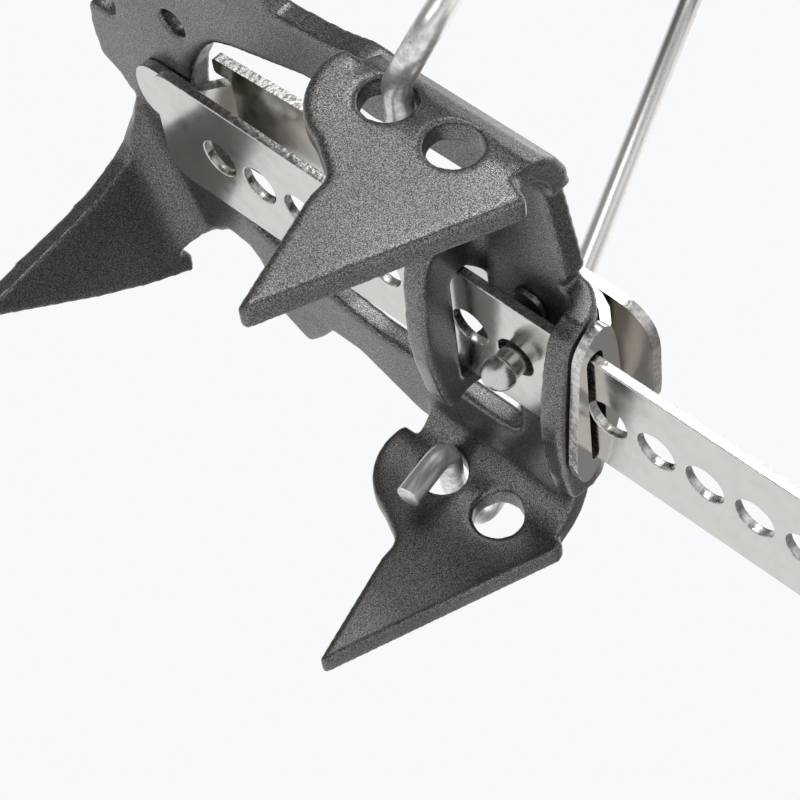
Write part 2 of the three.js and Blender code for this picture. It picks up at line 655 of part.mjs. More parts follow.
// Rivet with a low head at each end, along Z through a stack from bottom to top
function stackRivet(bottom, top, shank, head, tall) {
  return lathe([
    [0, bottom - tall], [head * 0.35, bottom - tall], [head / 2, bottom], [shank / 2, bottom],
    [shank / 2, top], [head / 2, top], [head * 0.35, top + tall], [0, top + tall]], rivetSegments);
}

// A route with stations only where it turns, so that straight runs stay one step long
class StationCurve extends THREE.Curve {
  constructor(stations) {
    super();
    this.stations = stations;
  }

  getPoint(t, target = new THREE.Vector3()) {
    const last = this.stations.length - 1;
    const place = THREE.MathUtils.clamp(t, 0, 1) * last;
    const index = Math.min(Math.floor(place + 1e-9), last - 1);
    return target.lerpVectors(this.stations[index], this.stations[index + 1], place - index);
  }

  getPointAt(u, target) {
    return this.getPoint(u, target);
  }

  getTangentAt(u, target = new THREE.Vector3()) {
    const last = this.stations.length - 1;
    const index = Math.round(u * last);
    const before = this.stations[Math.max(index - 1, 0)];
    const after = this.stations[Math.min(index + 1, last)];
    const here = this.stations[index];
    const incoming = here.clone().sub(before).normalize();
    const outgoing = after.clone().sub(here).normalize();
    return target.copy(incoming.add(outgoing)).normalize();
  }
}

function tube(stations, diameter, sides = 8) {
  const ring = [];
  for (let i = 0; i < sides; i += 1) {
    const angle = 2 * Math.PI * i / sides;
    ring.push(new THREE.Vector2(Math.cos(angle) * diameter / 2, Math.sin(angle) * diameter / 2));
  }
  return new THREE.ExtrudeGeometry(new THREE.Shape(ring), {
    steps: stations.length - 1, extrudePath: new StationCurve(stations), bevelEnabled: false });
}

// Stations of a route through corners [place, radius], each corner rounded by a short curve
const longestBendShare = 0.75; // of a straight run
function bentRoute(corners, turnSteps = 5) {
  const stations = [corners[0][0]];
  for (let i = 1; i < corners.length - 1; i += 1) {
    const [here, radius] = corners[i];
    const before = corners[i - 1][0].clone().sub(here);
    const after = corners[i + 1][0].clone().sub(here);
    const half = before.angleTo(after) / 2;
    const reach = Math.min(
      radius / Math.tan(half), before.length() * longestBendShare, after.length() * longestBendShare);
    const start = here.clone().add(before.setLength(reach));
    const end = here.clone().add(after.setLength(reach));
    stations.push(...new THREE.QuadraticBezierCurve3(start, here, end).getPoints(turnSteps));
  }
  stations.push(corners[corners.length - 1][0]);
  return stations;
}

// Level loop of a bail round the boot: straight runs joined by a half circle
function loopRoute(plan, inset = 0, z = plan.height) {
  const stations = [];
  const turnSteps = 12;
  for (let i = 0; i <= turnSteps; i += 1) {
    const angle = Math.PI * (0.5 - i / turnSteps);
    stations.push(new THREE.Vector3(
      plan.loopX + plan.facing * (plan.reach + Math.cos(angle) * (plan.depth - inset)),
      Math.sin(angle) * (plan.loopHalf - inset), z));
  }
  return stations;
}

// A bail is pulled up against the top of its hole
const bailSeatZ = (bailHoleDiameter - wireDiameter) / 2 - fitGap - bailHoleDrop;

// All that places one bail: its hole, its legs and its loop
function bailPlan({ holeX, plateHalf, legHalf, lean, draw, height, reach, depth, facing }) {
  const hookY = plateHalf - plateThickness - hookReach;
  const baseX = holeX + legOffset;
  const legX = (z) => baseX + facing * lean * z;
  const legY = (z) => legHalf - draw * z;
  const leg = [
    [new THREE.Vector3(holeX - facing * hookTurn, hookY, bailSeatZ - hookTall), 0],
    [new THREE.Vector3(holeX, hookY, bailSeatZ), wireBend],
    [new THREE.Vector3(holeX, plateHalf + 2 * fitGap, bailSeatZ), wireBend],
    [new THREE.Vector3(legX(bailSeatZ), legY(bailSeatZ), bailSeatZ), legBend],
    [new THREE.Vector3(legX(height), legY(height), height), wireBend],
  ];
  return { leg, loopX: legX(height), loopHalf: legY(height), height, reach, depth, facing };
}

const heelBail = bailPlan({
  holeX: heelSpikeStart + bailHoleInset, plateHalf: heelHalfWidth, legHalf: heelBailHalfWidth,
  lean: heelBailLean, draw: heelBailDraw, height: heelBailHeight, reach: heelLoopReach,
  depth: heelLoopDepth, facing: -1 });

function bailWire(plan) {
  const loop = loopRoute(plan);
  const start = bentRoute([...plan.leg, [loop[0], 0]]);
  const rightSide = start.map((p) => new THREE.Vector3(p.x, -p.y, p.z)).reverse();
  return tube([...start.slice(0, -1), ...loop, ...rightSide.slice(1)], wireDiameter);
}

// Moulded cradle inside the loop of a bail: a band with a strap ear on each arm, and a tunnel
// for the wire round its outside
function cradle(plan, tall, low, lift = 0) {
  const facing = plan.facing;
  const ribX = plan.loopX + facing * wireBend * 1.6;
  const earX = plan.loopX - facing * earReach;
  const endAt = (x, y) => new THREE.Vector3(x, y, plan.height);
  const stations = loopRoute(plan);
  const route = [endAt(ribX, plan.loopHalf), ...stations, endAt(ribX, -plan.loopHalf)];
  const openX = ribX - facing * overrun;
  const tunnel = [endAt(openX, plan.loopHalf), ...stations, endAt(openX, -plan.loopHalf)];
  const outerInset = wireDiameter / 2 + fitGap;
  const innerInset = outerInset + cradleWall;
  const outerHalf = plan.loopHalf - outerInset;
  const innerHalf = plan.loopHalf - innerInset;
  const outline = [
    endAt(earX, outerHalf), ...loopRoute(plan, outerInset), endAt(earX, -outerHalf),
    endAt(earX, -innerHalf), ...loopRoute(plan, innerInset).reverse(), endAt(earX, innerHalf)];
  const bottom = plan.height - low;
  const band = slab(
    new THREE.Shape(outline.map((p) => new THREE.Vector2(p.x, p.y))), bottom, bottom + tall);
  const far = plan.loopX + facing * (plan.reach + plan.depth);
  const span = far - earX;
  const slotMiddle = plan.height + lift;
  const earLow = slotMiddle - slotTall / 2 - earRim;
  const earHigh = slotMiddle + slotTall / 2 + earRim;
  const neckLow = plan.height - cradleRib;
  const neckHigh = cradleRivetHeight(plan) + smallRivetHead;
  const profile = roundedShape([
    [far + facing * overrun, bottom, 0], [far - span * 0.35, bottom, Math.abs(span) * 0.15],
    [far - span * 0.55, neckLow, 5], [plan.loopX, neckLow, 4], [plan.loopX - facing * overrun, earLow, 3],
    [earX, earLow, 4], [earX, earHigh, 4], [plan.loopX - facing * overrun, earHigh, 4],
    [far - span * 0.6, neckHigh, 6], [far - span * 0.3, bottom + tall, 6],
    [far + facing * overrun, bottom + tall, 0]]);
  const trim = wall(profile, -plan.loopHalf - overrun, plan.loopHalf + overrun);
  const rib = tube(route, 2 * cradleRib);
  const body = joined([solid(band).intersect(solid(trim)), solid(rib)]);
  const slotX = earX + facing * (earRim + slotWide / 2);
  const slot = roundedShape([
    [slotX - slotWide / 2, slotMiddle - slotTall / 2, slotWide / 2],
    [slotX + slotWide / 2, slotMiddle - slotTall / 2, slotWide / 2],
    [slotX + slotWide / 2, slotMiddle + slotTall / 2, slotWide / 2],
    [slotX - slotWide / 2, slotMiddle + slotTall / 2, slotWide / 2]]);
  const cutters = [
    solid(tube(tunnel, wireDiameter + 3 * fitGap)),
    solid(wall(slot, -plan.loopHalf - overrun, plan.loopHalf + overrun))];
  for (const x of cradleRivetPlaces(plan)) {
    cutters.push(solid(crossPost(
      x, cradleRivetHeight(plan), smallRivetShank + fitGap, -plan.loopHalf, plan.loopHalf, smallSegments)));
  }
  return cut(body, cutters);
}

const cradleRib = wireDiameter / 2 + fitGap + cradleTunnelWall;

function cradleRivetHeight(plan) {
  return plan.height + cradleRib + smallRivetHead * 0.6;
}

// Rivets through each arm of a cradle, at the ends of its straight run
function cradleRivetPlaces(plan) {
  const last = plan.loopX + plan.facing * (plan.reach - smallRivetHead * 0.6);
  return [last, last - plan.facing * smallRivetHead * 1.7];
}

function cradleRivet(plan, x, side) {
  const outer = plan.loopHalf - wireDiameter / 2 - fitGap;
  const rivet = stackRivet(
    outer - cradleWall - seatGap, outer + seatGap, smallRivetShank, smallRivetHead, smallRivetHeadTall);
  rivet.rotateX(-Math.PI / 2).translate(x, 0, cradleRivetHeight(plan));
  return side > 0 ? rivet : mirrored(rivet);
}

// Toe section, drawn from the pivot rivet
const toeSpikeStart = toeLength * 0.07;
const toeFrontSpikeStart = toeLength * 0.56;
const toePlanLeftShares = [
  [-0.085, 0.32, 2], [-0.03, 0.5, 4], [0.02, 0.62, 3], [0.07, 0.74, 0.4],
];
const toeMiddleShares = [[0.42, 0.7, 6], [0.49, 0.7, 6]];
const toeOpeningShares = [[0.12, 0.4, 0.5], [0.5, 0.8, 0.52]]; // rear end, front end, half width
const toeOpeningCorner = 6.5;

function toeFrame() {
  const pivotX = holePlace(pivotHole);
  const line = toeHalfWidth - sideBendRadius - plateThickness;
  const pointHalf = frontPointWidth / 2;
  const innerEdge = frontPointSpread - pointHalf;
  const outerEdge = frontPointSpread + pointHalf;
  const rear = toePlanLeftShares.map(([x, y, r]) => [pivotX + x * toeLength, y * toeHalfWidth, r]);
  const middle = toeMiddleShares.map(([x, y, r]) => [pivotX + x * toeLength, y * toeHalfWidth, r]);
  const left = [
    ...rear, [pivotX + toeSpikeStart, line, 0], [pivotX + toeSpikeStart + spikeRoot, line, 0],
    ...middle, [pivotX + toeFrontSpikeStart, line, 0],
    [pivotX + toeFrontSpikeStart + spikeRoot, line, 0],
    [pivotX + toeLength * 0.93, outerEdge + overrun, 3], [pivotX + toeLength, outerEdge, 0],
    [pivotX + toeLength, innerEdge, 0], [pivotX + toeLength * 0.93, innerEdge - overrun, 3],
  ];
  const right = left.map(([x, y, r]) => [x, -y, r]).reverse();
  const plan = roundedShape([...left, ...right]);
  for (const [from, to, half] of toeOpeningShares) {
    const [a, b, h] = [pivotX + from * toeLength, pivotX + to * toeLength, half * toeHalfWidth];
    const outline = roundedShape([[a, -h], [a, h], [b, h], [b, -h]].map(
      ([x, y]) => [x, y, toeOpeningCorner]));
    plan.holes.push(new THREE.Path(outline.getPoints().reverse()));
  }
  const points = [1, -1].flatMap((side) => frontPoint(pivotX + toeLength, side * frontPointSpread));
  const guideLine = pivotX - holePitch * 1.1;
  const body = joined([
    solid(slab(plan, plateBottom, plateTop)),
    ...sideSpikePair(pivotX + toeSpikeStart, toeHalfWidth).map(solid),
    ...sideSpikePair(pivotX + toeFrontSpikeStart, toeHalfWidth).map(solid),
    ...points.map(solid),
    ...barGuide(guideLine, -1, innerGuideHalfWidth, 0, guideDrop, innerGuideShares).map(solid),
  ]);
  return cut(body, [
    solid(barSlotCutter(guideLine - 4 * overrun, guideLine - weld, outerSlotBottom)),
    solid(post(pivotX, 0, pivotDiameter + fitGap, plateBottom - overrun, plateTop + overrun)),
    ...bailHoleCutters(pivotX + toeSpikeStart, toeHalfWidth),
    ...bailHoleCutters(pivotX + toeFrontSpikeStart, toeHalfWidth),
  ]);
}

// Front point: the platform bends down at an angle and narrows to a chisel tip
function frontPoint(x, y) {
  const frame = bendFrame(x, y, -Math.PI / 2);
  const half = frontPointWidth / 2;
  const sector = bendSector(
    frame, -half, half, sideBendRadius, plateThickness, frontPointAngle, plateBottom);
  const blade = roundedShape([
    [0, half, 0], [0, -half, 0], [frontPointLength * 0.4, -half * 0.86, 4],
    [frontPointLength, -tipRadius * 1.5, tipRadius], [frontPointLength, tipRadius * 1.5, tipRadius],
    [frontPointLength * 0.4, half * 0.86, 4]]);
  const drop = sideBendRadius * (1 - Math.cos(frontPointAngle));
  const run = sideBendRadius * Math.sin(frontPointAngle);
  const plate = new THREE.ExtrudeGeometry(blade, { depth: plateThickness, bevelEnabled: false })
    .rotateY(frontPointAngle).translate(x + run, y, plateBottom - drop);
  return [sector, plate];
}

const toeBail = bailPlan({
  holeX: holePlace(pivotHole) + toeFrontSpikeStart + bailHoleInset, plateHalf: toeHalfWidth,
  legHalf: toeBailHalfWidth, lean: toeBailLean, draw: toeBailDraw, height: toeBailHeight,
  reach: toeLoopReach, depth: toeLoopDepth, facing: 1 });

// Spacer between the bar and the toe platform, and a washer under the bar
function ringDisc(inner, outer, bottom, top) {
  return lathe([[inner / 2, bottom], [outer / 2, bottom], [outer / 2, top], [inner / 2, top],
    [inner / 2, bottom]]);
}

const group = new THREE.Group();

function addPart(name, geometry, finish) {
  const mesh = new THREE.Mesh(geometry, new THREE.MeshStandardMaterial(finish));
  mesh.name = name;
  group.add(mesh);
}

function addCradleRivets(section, plan) {
  for (const [sideName, side] of [['left', 1], ['right', -1]]) {
    cradleRivetPlaces(plan).forEach((x, i) => {
      addPart(`${section}_cradle_rivet_${sideName}_${i + 1}`, cradleRivet(plan, x, side), stainless);
    });
  }
}

addPart('heel_frame', geometryOf(heelFrame()), coated);
addPart('link_bar', linkBar(), nickel);
addPart('guide_plate', geometryOf(guidePlate()), nickel);
addPart('lock_lever', geometryOf(lockLever()), nickel);
addPart('lock_pin', lockPin(), stainless);
guideRivetPlaces().forEach(([x, y], i) => {
  addPart(`guide_rivet_${i ? 'right' : 'left'}`, guideRivet().translate(x, y, 0), stainless);
});
addPart('heel_wire', bailWire(heelBail), stainless);
addPart(
  'heel_cradle', geometryOf(cradle(heelBail, heelCradleTall, heelCradleTall * 0.45, heelEarLift)), rubber);
addCradleRivets('heel', heelBail);
addPart('toe_frame', geometryOf(toeFrame()), coated);
addPart('toe_wire', bailWire(toeBail), stainless);
addPart('toe_cradle', geometryOf(cradle(toeBail, toeCradleTall, toeCradleTall * 0.5)), rubber);
addCradleRivets('toe', toeBail);

const pivotX = holePlace(pivotHole);
const washerTop = -seatGap;
const washerBottom = washerTop - 2 * weld;
addPart('pivot_spacer', ringDisc(
  pivotDiameter + 2 * fitGap, pivotHeadDiameter, barThickness + seatGap, plateBottom - seatGap)
  .translate(pivotX, 0, 0), stainless);
addPart('pivot_washer', ringDisc(pivotDiameter + fitGap, pivotHeadDiameter, washerBottom, washerTop)
  .translate(pivotX, 0, 0), stainless);
addPart('pivot_rivet', stackRivet(
  washerBottom - seatGap, plateTop + seatGap, pivotDiameter, pivotHeadDiameter * 0.85, 2 * weld)
  .translate(pivotX, 0, 0), stainless);

// Stand the crampon on its spike tips, with the origin under the middle of its box
const box = new THREE.Box3().setFromObject(group);
group.position.set(-(box.min.x + box.max.x) / 2, -(box.min.y + box.max.y) / 2, -box.min.z);

export default group;
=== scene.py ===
"""Looks of a strap crampon: bent coated steel, a bright link bar, wire bails and moulded cradles."""
import logging
import math
from dataclasses import dataclass, field
from enum import Enum
from typing import Iterable

import bpy
from mathutils import Matrix, Vector


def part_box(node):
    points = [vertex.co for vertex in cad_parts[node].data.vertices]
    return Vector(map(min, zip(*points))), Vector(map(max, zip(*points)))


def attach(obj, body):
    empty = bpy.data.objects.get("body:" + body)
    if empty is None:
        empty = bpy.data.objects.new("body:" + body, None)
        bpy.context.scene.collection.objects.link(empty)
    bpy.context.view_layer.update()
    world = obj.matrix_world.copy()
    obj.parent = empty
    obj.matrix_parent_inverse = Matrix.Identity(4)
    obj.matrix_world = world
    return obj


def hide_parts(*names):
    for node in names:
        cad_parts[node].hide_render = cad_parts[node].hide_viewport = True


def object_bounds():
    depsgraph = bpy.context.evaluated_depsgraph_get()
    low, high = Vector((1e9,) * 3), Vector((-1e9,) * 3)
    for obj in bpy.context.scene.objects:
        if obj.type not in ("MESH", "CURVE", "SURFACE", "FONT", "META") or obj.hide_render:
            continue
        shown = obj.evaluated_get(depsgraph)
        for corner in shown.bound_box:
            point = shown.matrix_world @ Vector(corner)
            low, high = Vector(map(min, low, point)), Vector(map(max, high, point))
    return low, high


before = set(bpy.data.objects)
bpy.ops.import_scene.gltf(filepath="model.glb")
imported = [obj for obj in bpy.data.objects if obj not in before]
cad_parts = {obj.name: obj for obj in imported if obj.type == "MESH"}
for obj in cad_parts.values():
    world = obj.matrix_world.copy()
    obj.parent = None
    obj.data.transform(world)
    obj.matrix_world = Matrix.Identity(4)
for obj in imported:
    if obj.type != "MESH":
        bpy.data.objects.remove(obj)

logging.basicConfig(level=logging.INFO, format="%(message)s")
log = logging.getLogger("crampon")

MM = 0.001
CAD_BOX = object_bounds()
REAR_REACH = 10.0  # millimetres from the first hole of the bar to its rear end
NO_BEND = -1.0  # a height in bar millimetres, for a sheet piece that has no bend down

Pair = tuple[float, float]
Triple = tuple[float, float, float]
Socket = bpy.types.NodeSocket


class Side(Enum):
    """Left and right of the boot, as the CAD nodes name them."""

    LEFT = "left"
    RIGHT = "right"


class End(Enum):
    """Which way a bail leans: toward the heel or toward the toe, as the sign of X."""

    HEEL = -1
    TOE = 1


class Course(Enum):
    """How a ramp runs from its start to its end."""

    STRAIGHT = "LINEAR"
    SOFT = "SMOOTHSTEP"


@dataclass(frozen=True)
class Bench:
    """The working frame: millimetres from the first hole of the bar, on the bar's underside."""

    shift: Vector

    def metres(self, x: float, y: float, z: float) -> Vector:
        """A place in bar millimetres, in the row frame in metres.

        Args:
            x: distance toward the toe.
            y: distance to the left.
            z: height above the underside of the bar.

        Returns:
            The place in metres.
        """
        return Vector((x, y, z)) * MM + self.shift


def bench_from_bar() -> Bench:
    """Finds the working frame from the link bar's own box.

    Returns:
        The working frame.
    """
    low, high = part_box("link_bar")
    middle = (low[1] + high[1]) / 2
    return Bench(Vector((low[0] + REAR_REACH * MM, middle, low[2])))


BENCH = bench_from_bar()


class Tool:
    """Modelling moves on one object at a time.

    Attributes:
        MERGE: millimetres within which vertices of a copied mesh become one.
        FLAT: degrees below which neighbouring faces of a copied mesh are joined.
        SHARP: degrees above which an edge gets a bevel.
        SHADE: degrees below which faces are shaded as one surface.
        EASE: how far each round of smoothing goes, as a share.
        MOST_TRIANGLES: a remeshed piece is thinned to this count where it has more.
    """

    MERGE: float = 0.004
    FLAT: float = 0.6
    SHARP: float = 32.0
    SHADE: float = 35.0
    EASE: float = 0.5
    MOST_TRIANGLES: int = 190000

    @staticmethod
    def only(obj: bpy.types.Object) -> None:
        """Makes one object the only selected one, and the active one.

        Args:
            obj: the object.
        """
        if bpy.context.mode != "OBJECT":
            bpy.ops.object.mode_set(mode="OBJECT")
        bpy.ops.object.select_all(action="DESELECT")
        obj.select_set(True)
        bpy.context.view_layer.objects.active = obj

    @staticmethod
    def copy_node(node: str, name: str) -> bpy.types.Object:
        """Copies a CAD node's mesh into a new object with merged vertices and flat faces joined.

        Args:
            node: name of the CAD node.
            name: name of the new piece.

        Returns:
            The new object.
        """
        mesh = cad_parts[node].data.copy()
        obj = bpy.data.objects.new(name, mesh)
        bpy.context.scene.collection.objects.link(obj)
        mesh.materials.clear()
        Tool.only(obj)
        bpy.ops.object.mode_set(mode="EDIT")
        bpy.ops.mesh.select_all(action="SELECT")
        bpy.ops.mesh.remove_doubles(threshold=Tool.MERGE * MM)
        bpy.ops.mesh.dissolve_limited(angle_limit=math.radians(Tool.FLAT))
        bpy.ops.object.mode_set(mode="OBJECT")
        return obj

    @staticmethod
    def modify(obj: bpy.types.Object, kind: str, **settings: object) -> None:
        """Adds one modifier and applies it at once.

        Args:
            obj: the object to change.
            kind: Blender's modifier type.
            settings: values set on the modifier.
        """
        Tool.only(obj)
        modifier = obj.modifiers.new(kind.lower(), kind)
        for key, value in settings.items():
            setattr(modifier, key, value)
        bpy.ops.object.modifier_apply(modifier=modifier.name)

    @staticmethod
    def smooth(obj: bpy.types.Object, angle: float = SHADE) -> None:
        """Shades an object smooth where its faces meet at less than angle degrees."""
        Tool.only(obj)
        bpy.ops.object.shade_smooth_by_angle(angle=math.radians(angle))

    @staticmethod
    def settle(obj: bpy.types.Object) -> None:
        """Moves the object's place into its mesh, so that it ends at the origin."""
        Tool.only(obj)
        bpy.ops.object.transform_apply(location=True, rotation=True, scale=True)

    @staticmethod
    def bevelled(node: str, name: str, width: float, steps: int = 2) -> bpy.types.Object:
        """A copy of a CAD node with small bevels on its sharp edges.

        Args:
            node: name of the CAD node.
            name: name of the new piece.
            width: width of the bevels in millimetres.
            steps: steps across each bevel.

        Returns:
            The new object, which stands for the node.
        """
        obj = Tool.copy_node(node, name)
        Tool.modify(
            obj, "BEVEL", width=width * MM, segments=steps, limit_method="ANGLE",
            angle_limit=math.radians(Tool.SHARP), harden_normals=False, use_clamp_overlap=True)
        Tool.smooth(obj)
        Tool.modify(obj, "WEIGHTED_NORMAL", keep_sharp=True)
        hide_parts(node)
        return obj

    @staticmethod
    def rounded(node: str, name: str, voxel: float, passes: int) -> bpy.types.Object:
        """A copy of a CAD node remeshed finely and smoothed, as a thick coating rounds its edges.

        Args:
            node: name of the CAD node.
            name: name of the new piece.
            voxel: grid step in millimetres.
            passes: rounds of smoothing.

        Returns:
            The new object, which stands for the node.
        """
        obj = Tool.copy_node(node, name)
        Tool.modify(obj, "REMESH", mode="VOXEL", voxel_size=voxel * MM, adaptivity=0.0)
        Tool.modify(obj, "CORRECTIVE_SMOOTH", factor=Tool.EASE, iterations=passes, use_only_smooth=True)
        triangles = sum(len(face.vertices) - 2 for face in obj.data.polygons)
        if triangles > Tool.MOST_TRIANGLES:
            Tool.modify(obj, "DECIMATE", ratio=Tool.MOST_TRIANGLES / triangles)
        Tool.only(obj)
        bpy.ops.object.shade_smooth()
        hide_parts(node)
        return obj


@dataclass(frozen=True)
class Grain:
    """A noise in a finish.

    Attributes:
        scale: its waves per metre, or 1 where the stretch gives them.
        detail: how finely it is broken up.
        covers: between which of its values it comes to cover the colour under it.
        most: the share of that colour that it covers at most.
        stretch: waves per metre along each axis, for a noise drawn out along one of them.
    """

    scale: float
    detail: float
    covers: Pair = (0.0, 1.0)
    most: float = 1.0
    stretch: Triple | None = None


class Graph:
    """A node tree under construction, with the coordinate that its patterns read.

    Attributes:
        USUAL: between which values most of a noise lies.
        UNDER: place of the mix node's first colour among its inputs.
        OVER: place of its second colour.
        MIXED: place of the mixed colour among its outputs.
    """

    USUAL: Pair = (0.3, 0.7)
    UNDER: int = 6
    OVER: int = 7
    MIXED: int = 2

    def __init__(self, owner: bpy.types.Material | bpy.types.World, space: str) -> None:
        """Empties the owner's tree and adds its coordinate.

        Args:
            owner: the material or the world that the tree belongs to.
            space: name of the coordinate.
        """
        owner.use_nodes = True
        self.owner = owner
        self.tree = owner.node_tree
        self.tree.nodes.clear()
        self.coordinate = self.tree.nodes.new("ShaderNodeTexCoord").outputs[space]

    @classmethod
    def paint(cls, name: str) -> "Graph":
        """The graph of a new material, on object coordinates."""
        return cls(bpy.data.materials.new(name), "Object")

    def add(self, kind: str, inputs: dict | None = None, **settings: object) -> bpy.types.Node:
        """Adds a node, sets its inputs and settings, and links those inputs given as sockets.

        Args:
            kind: Blender's node type.
            inputs: input name or index to a value or an output socket.
            settings: properties of the node.

        Returns:
            The new node.
        """
        node = self.tree.nodes.new(kind)
        for key, value in settings.items():
            setattr(node, key, value)
        for key, value in (inputs or {}).items():
            if isinstance(value, Socket):
                self.tree.links.new(value, node.inputs[key])
            else:
                node.inputs[key].default_value = value
        return node

    def noise(self, grain: Grain, lean: Pair = (0.0, 0.0)) -> Socket:
        """The noise of a grain.

        Args:
            grain: what the noise is like.
            lean: turns about X and Y, in radians, that lay a stretched noise along a leaning piece.

        Returns:
            The noise, between 0 and 1.
        """
        vector = self.coordinate
        if grain.stretch is not None:
            turned = self.add("ShaderNodeMapping", {"Vector": vector, "Rotation": (*lean, 0.0)})
            drawn = self.add("ShaderNodeMapping", {
                "Vector": turned.outputs["Vector"], "Scale": grain.stretch})
            vector = drawn.outputs["Vector"]
        node = self.add("ShaderNodeTexNoise", {
            "Vector": vector, "Scale": grain.scale, "Detail": grain.detail})
        return node.outputs["Fac"]

    def ramp(self, value: Socket, span: Pair, out: Pair, course: Course = Course.STRAIGHT) -> Socket:
        """Maps a range of values to another range, held at its ends.

        Args:
            value: the value.
            span: the range that it comes from.
            out: the range that it goes to.
            course: how it runs between the ends.

        Returns:
            The mapped value.
        """
        node = self.add(
            "ShaderNodeMapRange",
            {"Value": value, "From Min": span[0], "From Max": span[1], "To Min": out[0], "To Max": out[1]},
            interpolation_type=course.value)
        return node.outputs["Result"]

    def combine(self, operation: str, *values: Socket) -> Socket:
        """Works out a number from one or two others.

        Args:
            operation: Blender's name for what is worked out.
            values: the one or two numbers.

        Returns:
            The number.
        """
        return self.add("ShaderNodeMath", dict(enumerate(values)), operation=operation).outputs[0]

    def cover(self, noise: Socket, grain: Grain, under: Socket | Triple, over: Socket | Triple) -> Socket:
        """Lays one colour over another where a noise covers it.

        Args:
            noise: the noise.
            grain: the grain that says which values of the noise cover, and how much.
            under: the colour below.
            over: the colour above.

        Returns:
            The mixed colour.
        """
        amount = self.ramp(noise, grain.covers, (0.0, grain.most))
        low, high = (c if isinstance(c, Socket) else (*c, 1.0) for c in (under, over))
        node = self.add(
            "ShaderNodeMix", {"Factor": amount, self.UNDER: low, self.OVER: high}, data_type="RGBA")
        return node.outputs[self.MIXED]

    def bump(self, height: Socket, relief: Pair, under: Socket | None = None) -> Socket:
        """Raises the surface with a noise.

        Args:
            height: the noise.
            relief: strength of the bump, and its depth in millimetres.
            under: the normal of another bump, on which this one lies.

        Returns:
            The normal.
        """
        strength, depth = relief
        inputs = {"Height": height, "Strength": strength, "Distance": depth * MM}
        if under is not None:
            inputs["Normal"] = under
        return self.add("ShaderNodeBump", inputs).outputs["Normal"]

    def close(self, kind: str, shader: bpy.types.Node) -> None:
        """Links a shader to a new output node of the given kind."""
        output = self.add(kind)
        self.tree.links.new(shader.outputs[0], output.inputs["Surface"])

    def surface(self, **inputs: object) -> bpy.types.Material:
        """Closes the tree with a principled surface.

        Args:
            inputs: principled inputs, with underscores for spaces.

        Returns:
            The finished material.
        """
        shader = self.add("ShaderNodeBsdfPrincipled", {
            key.replace("_", " "): value for key, value in inputs.items()})
        self.close("ShaderNodeOutputMaterial", shader)
        return self.owner


@dataclass(frozen=True)
class CoatedSteel:
    """Dark baked coating on steel plate, with a fine salt and pepper grain.

    Attributes:
        rough: roughness, as in the other finishes, where the noise is low and where it is high.
        fine_bump: strength and depth in millimetres, as for the other bumps.
    """

    name: str = "coated_steel"
    dark: Triple = (0.052, 0.0505, 0.051)
    light: Triple = (0.4, 0.387, 0.365)
    grain: Grain = Grain(8000.0, 2.0, (0.42, 0.7))
    coarse: Grain = Grain(3200.0, 2.0, (0.55, 0.72), 0.28)
    cloud: Grain = Grain(60.0, 3.0, (0.42, 0.7), 0.3)
    rough: Pair = (0.25, 0.35)
    metal: float = 0.8
    fine_bump: Pair = (0.4, 0.025)
    coarse_bump: Pair = (0.4, 0.04)

    def make(self) -> bpy.types.Material:
        """Builds the coating: fine and coarse light grains, slow dark clouds and a pebbled bump.

        Returns:
            The material.
        """
        g = Graph.paint(self.name)
        grain = g.noise(self.grain)
        coarse = g.noise(self.coarse)
        cloud = g.noise(self.cloud)
        base = g.cover(grain, self.grain, self.dark, self.light)
        base = g.cover(coarse, self.coarse, base, self.light)
        base = g.cover(cloud, self.cloud, base, self.dark)
        rough = g.ramp(cloud, g.USUAL, self.rough)
        fine = g.bump(grain, self.fine_bump)
        normal = g.bump(coarse, self.coarse_bump, fine)
        return g.surface(Base_Color=base, Metallic=self.metal, Roughness=rough, Normal=normal)


@dataclass(frozen=True)
class BrightNickel:
    """Polished nickel on rolled sheet, with faint rolling waves and hairline marks."""

    name: str = "nickel_plate"
    colour: Triple = (0.66, 0.637, 0.6)
    smear_colour: Triple = (0.56, 0.53, 0.49)
    grit_colour: Triple = (0.42, 0.4, 0.38)
    wave: Grain = Grain(1.0, 1.0, stretch=(60.0, 140.0, 140.0))
    hair: Grain = Grain(1.0, 2.0, stretch=(120.0, 9000.0, 9000.0))
    smear: Grain = Grain(420.0, 4.0, (0.42, 0.72), 0.3)
    grit: Grain = Grain(5200.0, 2.0, (0.58, 0.75), 0.3)
    rough: Pair = (0.12, 0.22)
    wave_bump: Pair = (0.3, 0.12)
    hair_bump: Pair = (0.08, 0.01)

    def make(self) -> bpy.types.Material:
        """Builds the plating with soft waves, faint hairlines along the sheet, smears and grit.

        Returns:
            The material.
        """
        g = Graph.paint(self.name)
        smear = g.noise(self.smear)
        base = g.cover(smear, self.smear, self.colour, self.smear_colour)
        base = g.cover(g.noise(self.grit), self.grit, base, self.grit_colour)
        rough = g.ramp(smear, g.USUAL, self.rough)
        soft = g.bump(g.noise(self.wave), self.wave_bump)
        normal = g.bump(g.noise(self.hair), self.hair_bump, soft)
        return g.surface(Base_Color=base, Metallic=1.0, Roughness=rough, Normal=normal)


